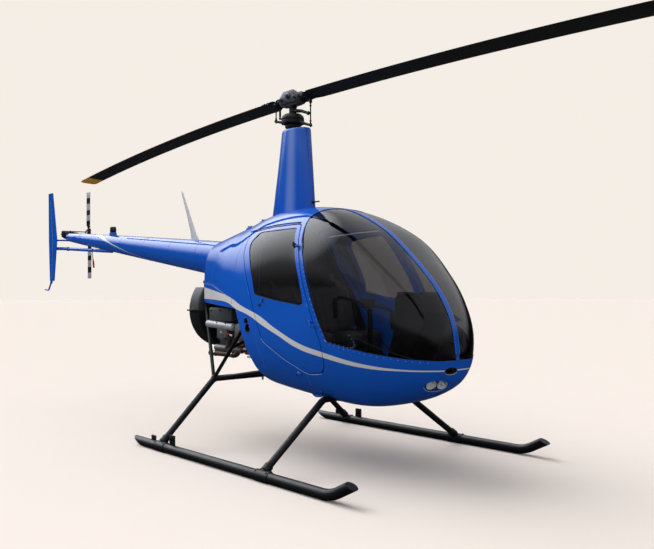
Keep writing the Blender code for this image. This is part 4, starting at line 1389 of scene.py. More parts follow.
@dataclass
class Cabin:
    """Shell, glazing, doors and what is fixed to the cabin's skin."""

    hull: Hull
    hinge_top: tuple[float, float, float] = (0.539, -0.669, 1.514)
    hinge_low: tuple[float, float, float] = (0.614, -0.920, 0.985)
    hinge_sink: float = 0.008
    knuckle: float = 0.008
    knuckle_length: float = 0.024
    vent: tuple[float, float, float] = (-0.063, -1.652, 0.693)
    vent_size: tuple[float, float] = (0.054, 0.020)
    bay: tuple[float, float] = (-1.577, 0.595)
    bay_size: tuple[float, float, float] = (0.082, 0.056, 0.036)
    holes: tuple[tuple[float, float, float], ...] = ((-0.140, 0.979, 0.023), (-0.160, 0.927, 0.030))

    def make(self) -> None:
        """Build every piece of the cabin's outside."""
        self.shell()
        for side in Side:
            self.windshield(side)
            self.door(side)
        self.skin_details()
        self.nose()

    def bay_frame(self) -> Matrix:
        """Frame on the nose's skin at the landing lights: across, up the skin, and outwards.

        Returns:
            The frame as a matrix.
        """
        place = self.hull.point(*self.bay, Side.RIGHT)
        out = self.hull.normal(place)
        across = Vector((0, 0, 1)).cross(out).normalized()
        turn = Matrix((across, out.cross(across), out)).transposed().to_4x4()
        return Matrix.Translation(place) @ turn

    def recess(self) -> bpy.types.Object:
        """Egg that hollows the landing lights' bay out of the nose.

        Returns:
            The cutter.
        """
        shape = bmesh.new()
        bmesh.ops.create_uvsphere(shape, u_segments=40, v_segments=24, radius=1.0,
                                  matrix=self.bay_frame() @ Matrix.Diagonal((*self.bay_size, 1.0)))
        return to_object(shape)

    def vent_cutter(self) -> bpy.types.Object:
        """Oval bar through the nose at the air inlet.

        Returns:
            The cutter.
        """
        x, _, z = self.vent
        wide, high = self.vent_size
        points = [Vector((x + wide * math.cos(a), z + high * math.sin(a))) for a in circle(40)]
        return to_object(prism(points, -1.8, -1.55, Axis.Y))

    def shell(self) -> None:
        """The cabin's painted skin with its openings, lined inside."""
        item = self.hull.wall(0.0, WALL)
        combine(item, to_object(prism(rounded(BEHIND_CABIN), -1.2, 1.2)))
        for side in Side:
            combine(item, side_cutter(WINDSHIELD_OUTLINE, side, inner=BOW_HALF_WIDTH))
            combine(item, side_cutter(DOOR_OUTLINE, side, DOOR_GAP))
        combine(item, self.vent_cutter())
        combine(item, self.recess())
        for y, z, radius in self.holes:
            place = self.hull.point(y, z, Side.RIGHT)
            hole = turned(((0, -0.06), (radius, -0.06), (radius, 0.06), (0, 0.06)), place, (-1, 0, 0))
            combine(item, to_object(hole))
        item.data.materials.clear()
        item.data.materials.append(PAINT.material())
        item.data.materials.append(LINING.material())
        self.hull.shade(item, inner=1, ahead=-0.95)
        settle(item, "cabin_skin", "airframe", ["cabin_shell"])
        for side in Side:
            ring = self.hull.wall(WALL + 0.0004, WALL + 0.005)
            combine(ring, side_cutter(DOOR_OUTLINE, side, 0.048), "INTERSECT")
            combine(ring, side_cutter(DOOR_OUTLINE, side, DOOR_GAP, inner=0.100))
            combine(ring, side_cutter(WINDSHIELD_OUTLINE, side, 0.004, inner=0.100))
            combine(ring, side_cutter(SURROUND_END, side, inner=0.100))
            ring.data.materials.clear()
            # The surround takes the brightened inside blue: painted light.
            ring.data.materials.append(PAINT_INSIDE_LIT.material())
            self.hull.shade(ring)
            settle(ring, f"door_surround_{side.word}", "airframe")

    def windshield(self, side: Side) -> None:
        """One half of the windshield with its sealing strip.

        Args:
            side: Side of the pane.
        """
        pane = self.hull.wall(PANE_INSET, PANE_INSET + PANE)
        combine(pane, side_cutter(WINDSHIELD_OUTLINE, side, -TRIM, BOW_HALF_WIDTH + TRIM), "INTERSECT")
        pane.data.materials.clear()
        pane.data.materials.append(TINT.material())
        self.hull.shade(pane)
        settle(pane, f"windshield_pane_{side.word}", "airframe", [f"windshield_{side.word}"])
        seal = Build(RUBBER)
        corners = [(p.x, p.y) for p in rounded(WINDSHIELD_EDGE[1:-1])]
        edge = self.hull.line([(-0.624, 1.700), *corners, (-1.560, 0.767), (-1.628, 0.759)], side, 0.0035)
        seal.bar(edge, 0.0032, sides=8)
        bow = [self.hull.crown(side.value * (BOW_HALF_WIDTH + 0.001), y, 0.0035)
               for y in np.linspace(-0.622, -1.645, 50)]
        seal.bar(bow, 0.0030, sides=8)
        brow = [self.hull.crown(side.value * x, -0.621, 0.0035) for x in np.linspace(0.014, 0.400, 18)]
        seal.bar(brow, 0.0030, sides=8)
        seal.done(f"windshield_seal_{side.word}", "airframe")

    def door(self, side: Side) -> None:
        """One door with its window, frame step, hinges, latch and seal.

        Args:
            side: Side of the door.
        """
        item = self.hull.wall(0.0, DOOR_WALL)
        combine(item, side_cutter(DOOR_OUTLINE, side), "INTERSECT")
        core = self.hull.solid(DOOR_SKIN)
        combine(core, side_cutter(DOOR_OUTLINE, side, -DOOR_STEP, inner=0.100))
        combine(item, core)
        combine(item, side_cutter(DOOR_WINDOW_OUTLINE, side))
        item.data.materials.clear()
        item.data.materials.append(PAINT.material())
        # Inner faces take the brightened inside blue: painted light.
        item.data.materials.append(PAINT_INSIDE_LIT.material())
        self.hull.shade(item, inner=1)
        body = f"door_{side.word}"
        settle(item, f"door_panel_{side.word}", body, [f"door_{side.word}"])
        pane = self.hull.wall(PANE_INSET, PANE_INSET + PANE)
        combine(pane, side_cutter(DOOR_WINDOW_OUTLINE, side, -TRIM), "INTERSECT")
        pane.data.materials.clear()
        pane.data.materials.append(TINT.material())
        self.hull.shade(pane)
        settle(pane, f"door_pane_{side.word}", body, [f"door_window_{side.word}"])
        ring = self.hull.wall(DOOR_FRAME_INSET, DOOR_FRAME_INSET + 0.008)
        combine(ring, side_cutter(DOOR_WINDOW_OUTLINE, side, 0.006), "INTERSECT")
        combine(ring, side_cutter(DOOR_LIGHT_OUTLINE, side, inner=0.100))
        ring.data.materials.clear()
        ring.data.materials.append(SATIN_BLACK.material())
        ring.data.materials.append(LINING.material())
        self.hull.shade(ring, inner=1)
        settle(ring, f"door_inner_frame_{side.word}", body)
        bead = self.hull.wall(DOOR_FRAME_INSET + 0.0084, DOOR_FRAME_INSET + 0.013)
        combine(bead, side_cutter(DOOR_LIGHT_OUTLINE, side, 0.034, inner=0.100), "INTERSECT")
        combine(bead, side_cutter(DOOR_LIGHT_OUTLINE, side, inner=0.080))
        bead.data.materials.clear()
        # The bead takes the brightened inside blue: painted light.
        bead.data.materials.append(PAINT_INSIDE_LIT.material())
        self.hull.shade(bead)
        settle(bead, f"door_window_bead_{side.word}", body)
        seal = Build(RUBBER)
        outline = [(p.x, p.y) for p in rounded(DOOR_WINDOW_OUTLINE)]
        seal.bar(self.hull.line(outline + outline[:1], side, 0.0035), 0.0030, sides=8)
        seal.done(f"door_window_seal_{side.word}", body)
        fittings = Build(SATIN_BLACK)
        self.hinge_halves(fittings, side, forward=False)
        self.latch(fittings, side)
        fittings.done(f"door_fittings_{side.word}", body)

    def hinge_halves(self, build: Build, side: Side, forward: bool) -> None:
        """Knuckle, arm and foot plate of both hinges, for the shell or for the door.

        Args:
            build: Piece that takes the shapes.
            side: Side of the aircraft.
            forward: True for the half on the shell.
        """
        top = Vector((side.value * self.hinge_top[0], *self.hinge_top[1:]))
        low = Vector((side.value * self.hinge_low[0], *self.hinge_low[1:]))
        axis = (top - low).normalized() * (-1 if forward else 1)
        reach = -0.030 if forward else 0.024
        for middle in (top, low):
            build.paint(SATIN_BLACK if middle is top else PAINT_PLAIN)
            foot = self.hull.point(middle.y + reach, middle.z, side, self.hinge_sink * 0.5)
            arm = (middle + axis * self.knuckle_length / 2, foot + axis * self.knuckle_length / 2)
            build.lathe(((0, 0.0004), (self.knuckle * 0.8, 0.0004), (self.knuckle, 0.002),
                         (self.knuckle, self.knuckle_length - 0.002),
                         (self.knuckle * 0.8, self.knuckle_length), (0, self.knuckle_length)), middle, axis, 20)
            build.bar(arm, (0.0062, 0.0052), 12, squash=0.8)
            normal = self.hull.normal(foot)
            build.rivets([(arm[1] + normal * 0.004 + axis * shift, normal) for shift in (-0.010, 0.010)], 0.004)

    def latch(self, build: Build, side: Side) -> None:
        """Lock barrel and handle of the door.

        Args:
            build: Piece that takes the parts.
            side: Side of the door.
        """
        build.paint(SATIN_BLACK)
        lock = self.hull.point(-0.318, 1.099, side)
        normal = self.hull.normal(lock)
        build.lathe(((0, 0), (0.013, 0), (0.012, 0.004), (0.006, 0.005), (0, 0.003)), lock - normal * 0.001,
                    normal, 24)
        pull = [self.hull.point(y, z, side, -0.005) for y, z in ((-0.362, 1.146), (-0.352, 1.130), (-0.340, 1.118))]
        build.paint(BARE_METAL).bar(pull, (0.004, 0.0055, 0.004), 10)

    def skin_details(self) -> None:
        """Seams, rivets, drip rails and small fittings on the cabin's skin."""
        beads = Build(PAINT_PLAIN)
        dark = Build(SATIN_BLACK)
        # Rivet heads are in the paler blue: painted highlight on them.
        rivets = Build(PAINT_HIGHLIGHT)
        for side in Side:
            rail = self.hull.line(((0.075, 1.652), (-0.100, 1.668), (-0.288, 1.681), (-0.450, 1.684),
                                   (-0.581, 1.683)), side, -0.002)
            dark.paint(SATIN_BLACK).bar(rail, 0.0036, 8)
            frame = [(p.x, p.y) for p in grown(rounded(DOOR_OUTLINE), DOOR_GAP * 0.33)]
            beads.bar(self.hull.line([*frame, frame[0]], side, 0.0165), 0.0058, 8)
            edge = [(p.x, p.y) for p in grown(rounded(DOOR_OUTLINE), DOOR_GAP + 0.0012)]
            lower = [spot for spot in edge if spot[1] < 1.02 and spot[0] > -0.93]
            # Thin bead under the door in the paler blue: painted highlight along the opening's lower edge.
            beads.paint(PAINT_HIGHLIGHT).bar(self.hull.line(lower, side, -0.0002), 0.0021, 8)
            beads.paint(PAINT_PLAIN)
            upper = [spot for spot in edge if 1.02 <= spot[1] < 1.62 and spot[0] > -0.40]
            dotted = self.hull.line([(y + 0.012, z) for y, z in upper], side, gap=0.017)
            for seam in (((-0.267, 0.912), (-0.267, 0.802), (-0.288, 0.699), (-0.245, 0.590)),
                         ((-0.762, 0.635), (-0.725, 0.560), (-0.692, 0.505))):
                dotted += self.hull.line(seam, side, gap=0.015)
            rivets.rivets([(p, self.hull.normal(p)) for p in dotted], 0.0021)
            pillar = [(p.x + 0.012, p.y) for p in rounded(DOOR_OUTLINE) if p.x < -0.62 and p.y > 0.95]
            row = self.hull.line(pillar, side, gap=0.030)
            rivets.rivets([(p, self.hull.normal(p)) for p in row], 0.0024)
            strip = [(p.x + 0.010, p.y + 0.006) for p in rounded(WINDSHIELD_EDGE[1:-1])]
            row = self.hull.line(strip, side, gap=0.034)
            rivets.rivets([(p, self.hull.normal(p)) for p in row], 0.0032)
            edge = [(y, z - 0.013) for y, z in ((-1.05, 0.862), (-1.29, 0.811), (-1.51, 0.773), (-1.60, 0.762))]
            rivets.rivets([(p, self.hull.normal(p)) for p in self.hull.line(edge, side, gap=0.036)], 0.0030)
            blister = self.hull.point(-0.674, 0.632, side)
            beads.ball(blister, 0.021, (0.6, 1.2, 0.8), 20)
            dark.ball(blister + Vector((side.value * 0.006, 0.022, -0.006)), 0.012, (0.7, 0.8, 0.8), 14)
            brow = smooth_path([Vector((side.value * x, y, z)) for x, y, z in (
                (0.279, -0.560, 0.466), (0.330, -0.650, 0.462), (0.352, -0.744, 0.474), (0.400, -0.790, 0.510))])
            beads.bar(brow, (*[0.006] * 6, *[0.0085] * 7, *[0.006] * 6), 12)
            dark.bar(((side.value * 0.274, 0.036, 0.560), (side.value * 0.274, 0.036, 0.512)), 0.007, 12)
            self.hinge_halves(dark, side, forward=True)
        beads.add(self.bow_strip())
        for x in (-0.018, 0.018):
            spots = [self.hull.crown(x, y, -0.0012) for y in self.bow_stations(64)]
            rivets.rivets([(spot, self.hull.normal(spot)) for spot in spots], 0.0026)
        for y, z, radius in self.holes:
            place = self.hull.point(y, z, Side.RIGHT)
            dark.paint(SATIN_BLACK)
            dark.lathe(((0.0, -0.03), (radius - 0.002, -0.03), (radius - 0.002, 0.001), (radius, 0.002),
                        (radius + 0.002, 0.0), (radius + 0.002, -0.034), (0.0, -0.034)), place, (-1, 0, 0.05), 28)
            dark.paint(RED_PART).ball(place + Vector((0.012, -0.006, 0.010)), 0.007, (0.8, 1.4, 1.0), 12)
        beads.done("cabin_seams", "airframe")
        rivets.done("cabin_rivets", "airframe", angle=80)
        dark.done("cabin_fittings", "airframe")

    def bow_stations(self, count: int) -> list[float]:
        """Stations along the windshield's middle bar, close together where it dips at the nose.

        Args:
            count: Number of stations.

        Returns:
            The stations along Y.
        """
        return [-0.612 - 1.0425 * (1 - (1 - k / count) ** 1.9) for k in range(count + 1)]

    def bow_strip(self) -> bmesh.types.BMesh:
        """Flat bar that covers the inner edges of both panes.

        Returns:
            The bar's mesh.
        """
        rings = []
        for y in self.bow_stations(72):
            rings.append([self.hull.crown(x, y, inset) for x, inset in (
                (-BOW_COVER, -0.0006), (-BOW_COVER * 0.5, -0.0014), (0.0, -0.0018), (BOW_COVER * 0.5, -0.0014),
                (BOW_COVER, -0.0006), (BOW_COVER, 0.0038), (0.0, 0.0034), (-BOW_COVER, 0.0038))])
        return loft(rings)

    def nose(self) -> None:
        """Air inlet and the pair of landing lights under their bay."""
        inlet = Build(SATIN_BLACK)
        x, _, z = self.vent
        wide, high = self.vent_size
        ring = []
        for angle in circle(48):
            across, up = x + wide * math.cos(angle), z + high * math.sin(angle)
            ring.append(Vector((across, self.skin_at(across, up), up)))
        inlet.bar([*ring, ring[0]], 0.0030, 8)
        inlet.add(prism([Vector((p.x, p.z)) for p in ring], -1.615, -1.609, Axis.Y))
        for row in np.linspace(-0.013, 0.013, 6):
            half = wide * math.sqrt(1 - (row / high) ** 2) - 0.002
            inlet.bar(((x - half, -1.622, z + row), (x + half, -1.622, z + row)), 0.0010, 6)
        inlet.paint(STRIPE_METAL).bar([p + Vector((0, -0.001, -0.004)) for p in ring[26:47]], 0.0026, 8)
        inlet.done("nose_inlet", "airframe")
        lights = Build(LAMP_SILVER)
        frame = self.bay_frame()
        out = frame.to_3x3() @ Vector((0, 0, 1))
        aim = (out + Vector((0, -0.25, 0.0))).normalized()
        for across in (-0.038, 0.038):
            place = frame @ Vector((across, 0.002, -0.013))
            lights.paint(LAMP_SILVER).lathe(((0, -0.008), (0.014, -0.007), (0.026, -0.001), (0.0335, 0.008),
                                             (0.0355, 0.008), (0.032, -0.006), (0.006, -0.020)), place, aim, 32)
            lights.paint(CLEAR).lathe(((0, 0.012), (0.018, 0.0105), (0.0332, 0.006), (0.0332, 0.004),
                                       (0, 0.008)), place, aim, 32)
        lights.paint(PAINT_PLAIN)
        lights.bar([frame @ Vector((0.0, v, w)) for v, w in ((-0.038, -0.006), (-0.020, -0.012), (0.020, -0.012),
                                                             (0.038, -0.006))], 0.0045, 10)
        wide, high, _ = self.bay_size
        rim = [frame @ Vector((wide * math.cos(a), high * math.sin(a), 0.0)) for a in circle(48)]
        rim = [self.on_skin(p) for p in rim]
        lights.bar([*rim, rim[0]], 0.0022, 8)
        # Lower half of the bay's rim in the paler blue: painted highlight.
        lights.paint(PAINT_HIGHLIGHT).bar([p + Vector((0, -0.0012, -0.001)) for p in rim[25:47]], 0.0026, 8)
        lights.done("landing_lights", "airframe")

    def skin_at(self, x: float, z: float) -> float:
        """Station where the nose's skin passes a place seen from ahead.

        Args:
            x: Place across.
            z: Height.

        Returns:
            The station along Y.
        """
        low, high = -1.66, -1.0
        for _ in range(30):
            middle = (low + high) / 2
            _, width, top, bottom, waist, up, down = self.hull.at(middle)
            height, square = (top - waist, up) if z > waist else (waist - bottom, down)
            inside = (abs(x) / width) ** square + (abs(z - waist) / height) ** square < 1.0
            low, high = (low, middle) if inside else (middle, high)
        return high

    def on_skin(self, place: Vector) -> Vector:
        """The same place brought onto the nose's skin along Y.

        Args:
            place: Point near the nose.

        Returns:
            The point on the skin.
        """
        return Vector((place.x, self.skin_at(place.x, place.z), place.z))


@dataclass
class Furniture:
    """Seats, panels and controls that show through the glazing."""

    hull: Hull
    floor: float = 0.560

    def make(self) -> None:
        """Build every piece of the cabin's inside."""
        for side in Side:
            self.seat(side)
            self.belts(side)
        self.pod()
        self.controls()
        self.trim()

    def swell(self, item: bpy.types.Object, cap: float) -> None:
        """Blow a cushion up by cloth pressure and keep the result in its mesh.

        Args:
            item: The cushion, slightly smaller than it should end.
            cap: Furthest any point may move.
        """
        remesh = item.modifiers.new("skin", "REMESH")
        remesh.mode = "VOXEL"
        remesh.voxel_size = 0.006
        bpy.context.view_layer.update()
        mesh = bpy.data.meshes.new_from_object(item.evaluated_get(bpy.context.evaluated_depsgraph_get()))
        item.modifiers.clear()
        item.data = mesh
        start = np.zeros(len(mesh.vertices) * 3)
        mesh.vertices.foreach_get("co", start)
        shift = np.zeros_like(start)
        cloth = item.modifiers.new("pressure", "CLOTH")
        cloth.settings.use_pressure = True
        cloth.settings.uniform_pressure_force = 4.0
        cloth.settings.effector_weights.gravity = 0.0
        for frame in range(1, 21):
            bpy.context.scene.frame_set(frame)
        blown = item.evaluated_get(bpy.context.evaluated_depsgraph_get()).to_mesh()
        blown.vertices.foreach_get("co", shift)
        shift -= start
        item.modifiers.clear()
        bpy.context.scene.frame_set(1)
        moves = shift.reshape(-1, 3)
        lengths = np.linalg.norm(moves, axis=1, keepdims=True)
        moves *= np.minimum(1.0, cap / np.maximum(lengths, 1e-9))
        mesh.vertices.foreach_set("co", (start.reshape(-1, 3) + moves).ravel())
        mesh.update()

    def cushion(self, outline: Outline, low: float, high: float, channels: int, name: str, puff: float) -> None:
        """A padded cushion with sewn channels and a welt round its edge.

        Args:
            outline: Its side view.
            low: Lower end along X.
            high: Higher end along X.
            channels: Number of sewn channels across it.
            name: Name of the piece.
            puff: Height of the padding between the seams.
        """
        points = rounded(outline, 6)
        centre = sum(points, Vector((0.0, 0.0))) / len(points)
        rings = []
        for t in np.linspace(0.0, 1.0, 33):
            end = min(t, 1 - t)
            round_off = math.sqrt(max(1 - (1 - min(end / 0.07, 1.0)) ** 2, 0.0)) * 0.14 + 0.84
            rings.append([(low + 0.006 + (high - low - 0.012) * t, *(centre + (p - centre) * round_off))
                          for p in points])
        body = to_object(loft(rings))
        self.swell(body, 0.009)
        shape = bmesh.new()
        shape.from_mesh(body.data)
        bpy.data.objects.remove(body, do_unlink=True)
        shape.normal_update()
        for vert, normal in [(vert, vert.normal.copy()) for vert in shape.verts]:
            seam = abs(math.sin(math.pi * channels * (vert.co.x - low) / (high - low))) ** 0.55
            inside = min(vert.co.x - low, high - vert.co.x) > 0.25 * (high - low) / channels
            vert.co -= normal * puff * (1.0 - seam) * inside
        build = Build(SEAT_HIDE)
        build.add(shape)
        for x in (low + 0.002, high - 0.002):
            loop = [Vector((x, *(centre + (p - centre) * 0.93))) for p in [*points, points[0]]]
            build.bar(loop, 0.0045, 8)
        node = "seat_right" if low < 0 else "seat_left"
        piece = build.done(name, "airframe", [node], angle=50)

    def seat(self, side: Side) -> None:
        """Bottom and back cushion of one seat.

        Args:
            side: Side of the seat.
        """
        low, high = sorted((side.value * 0.035, side.value * 0.455))
        base: Outline = ((-0.535, 0.790, 0.010), (-0.555, 0.872, 0.035), (-0.500, 0.888, 0.060),
                         (-0.280, 0.858, 0.060), (-0.215, 0.860, 0.020), (-0.195, 0.752, 0.010))
        back: Outline = ((-0.292, 0.862, 0.020), (-0.205, 1.125, 0.200), (-0.158, 1.242, 0.035),
                         (-0.108, 1.258, 0.030), (-0.085, 1.228, 0.030), (-0.190, 0.800, 0.015))
        self.cushion(base, low, high, 4, f"seat_cushion_{side.word}", 0.010)
        self.cushion(back, low, high, 4, f"seat_backrest_{side.word}", 0.009)

    def belts(self, side: Side) -> None:
        """Shoulder strap and lap strap of one seat.

        Args:
            side: Side of the seat.
        """
        build = Build(BELT)
        x = side.value * 0.33
        strap = smooth_path(((x + side.value * 0.05, -0.030, 1.345), (x, -0.095, 1.292), (x, -0.170, 1.250),
                             (x - side.value * 0.03, -0.240, 1.060), (x - side.value * 0.10, -0.308, 0.905)))
        build.bar(strap, 0.022, 10, squash=0.09)
        lap = smooth_path(((side.value * 0.450, -0.300, 0.860), (side.value * 0.360, -0.400, 0.896),
                           (side.value * 0.240, -0.430, 0.905), (side.value * 0.120, -0.400, 0.896),
                           (side.value * 0.040, -0.300, 0.860)))
        build.bar(lap, 0.022, 10, squash=0.09)
        buckle = side.value * 0.24
        build.paint(BARE_METAL).box((buckle - 0.030, -0.455, 0.902), (buckle + 0.030, -0.405, 0.922), 0.005)
        build.done(f"seat_belts_{side.word}", "airframe")

    def pod(self) -> None:
        """Instrument pod with its face, dials and switches."""
        outline: Outline = ((-1.495, 1.050, 0.050), (-1.425, 1.180, 0.040), (-1.245, 1.188, 0.030),
                            (-1.212, 1.150, 0.020), (-1.190, 0.900, 0.040), (-1.150, 0.790, 0.020),
                            (-1.150, self.floor, 0.000), (-1.335, self.floor, 0.000), (-1.340, 0.720, 0.050))
        build = Build(SATIN_BLACK)
        build.add(prism(rounded(outline), -0.118, 0.118), bevel=0.012)
        build.paint(SLATE).box((-0.121, -1.420, 1.172), (0.121, -1.235, 1.192), 0.008)
        build.paint(SATIN_BLACK)
        face = Vector((0.0, 0.996, 0.088)).normalized()
        up = Vector((0.0, -0.088, 0.996))
        centre = Vector((0.0, -1.2005, 1.030))
        dials = [(-0.058, 0.070, 0.036), (0.058, 0.070, 0.036), (-0.058, -0.012, 0.036), (0.058, -0.012, 0.036),
                 (0.0, 0.098, 0.018)]
        for x, lift, radius in dials:
            place = centre + Vector((x, 0, 0)) + up * lift
            build.paint(DARK_METAL).lathe(((radius * 0.86, 0.002), (radius * 0.9, 0.005), (radius, 0.004),
                                           (radius, -0.004), (radius * 0.86, -0.004)), place, face, 28)
            build.paint(LAMP_BLACK).lathe(((0, 0.001), (radius * 0.87, 0.001), (radius * 0.87, -0.003),
                                           (0, -0.003)), place, face, 28)
            build.paint(WHITE).bar((place + face * 0.002, place + face * 0.002 + up * radius * 0.7), 0.0012, 6)
        for k in range(5):
            knob = Vector((-0.070 + 0.035 * k, -1.192, 0.905))
            build.paint(BARE_METAL).bar((knob, knob + Vector((0, 0.016, 0.004))), (0.004, 0.0025), 8)
        build.done("instrument_console", "airframe", ["instrument_pod"], merge=False)

    def controls(self) -> None:
        """Cyclic with its swinging bar, collective levers and pedals."""
        y = -0.860
        build = Build(SATIN_BLACK)
        build.bar(((0, y, self.floor), (0, y, 1.130)), (0.022, 0.017), 20)
        build.lathe(((0.022, 0.0), (0.048, 0.004), (0.040, 0.030), (0.026, 0.060), (0.022, 0.080)),
                    (0, y, self.floor), (0, 0, 1), 24)
        bar = bent(((-0.287, y + 0.055, 1.126), (-0.250, y + 0.045, 1.156, 0.03), (0.250, y + 0.045, 1.060, 0.03),
                    (0.287, y + 0.055, 1.028)))
        build.bar(bar, 0.012, 16)
        build.box((-0.032, y - 0.030, 1.072), (0.032, y + 0.065, 1.142), 0.010)
        for side in Side:
            x = side.value * 0.285
            top = 1.080 - side.value * 0.050
            build.bar(((x, y + 0.058, top), (x, y + 0.056, top - 0.020), (x, y + 0.052, top - 0.090),
                       (x, y + 0.050, top - 0.120)), (0.014, 0.019, 0.017, 0.014), 16)
            build.ball((x, y + 0.056, top + 0.010), 0.016, (1, 1, 0.7), 14)
        build.done("cyclic_control", "airframe", ["cyclic_stick"])
        levers = Build(SATIN_BLACK)
        levers.bar(((-0.012, -0.560, 0.620), (0.437, -0.560, 0.620)), 0.012, 16)
        for x in (0.000, 0.425):
            route = bent(((x, -0.560, 0.620, 0.0), (x, -0.640, 0.700, 0.050), (x, -0.795, 0.825, 0.0)))
            levers.bar(route, 0.012, 14)
            levers.bar(route[-1:] + [route[-1] + Vector((0, 0.100, -0.081))], (0.017, 0.016), 14)
        for x in (0.040, 0.385):
            levers.box((x - 0.012, -0.572, self.floor), (x + 0.012, -0.548, 0.622), 0.003)
        levers.done("collective_controls", "airframe", ["collective_levers"])
        pedals = Build(SATIN_BLACK)
        pedals.bar(((-0.270, -1.375, 0.600), (0.270, -1.375, 0.600)), 0.011, 14)
        for x in (-0.250, -0.165, 0.165, 0.250):
            pedals.paint(BARE_METAL).box((x - 0.033, -1.385, 0.594), (x + 0.033, -1.367, 0.700), 0.006)
            for step in range(5):
                z = 0.612 + 0.018 * step
                pedals.paint(RUBBER).bar(((x - 0.028, -1.366, z), (x + 0.028, -1.366, z)), 0.0035, 8)
        for x in (-0.207, 0.207):
            pedals.paint(SATIN_BLACK).box((x - 0.012, -1.387, self.floor), (x + 0.012, -1.363, 0.605), 0.003)
        pedals.done("pedal_bars", "airframe", ["pedals"])

    def trim(self) -> None:
        """Roof console and rear window posts."""
        build = Build(LINING)
        build.box((-0.060, -0.420, 1.765), (0.060, -0.180, 1.792), 0.010)
        for side in Side:
            post = [self.hull.point(y, z, side, 0.040) for y, z in ((0.060, 1.600), (0.040, 1.450), (-0.060, 1.250))]
            build.bar(post, 0.016, 12)
        build.done("roof_trim", "airframe")


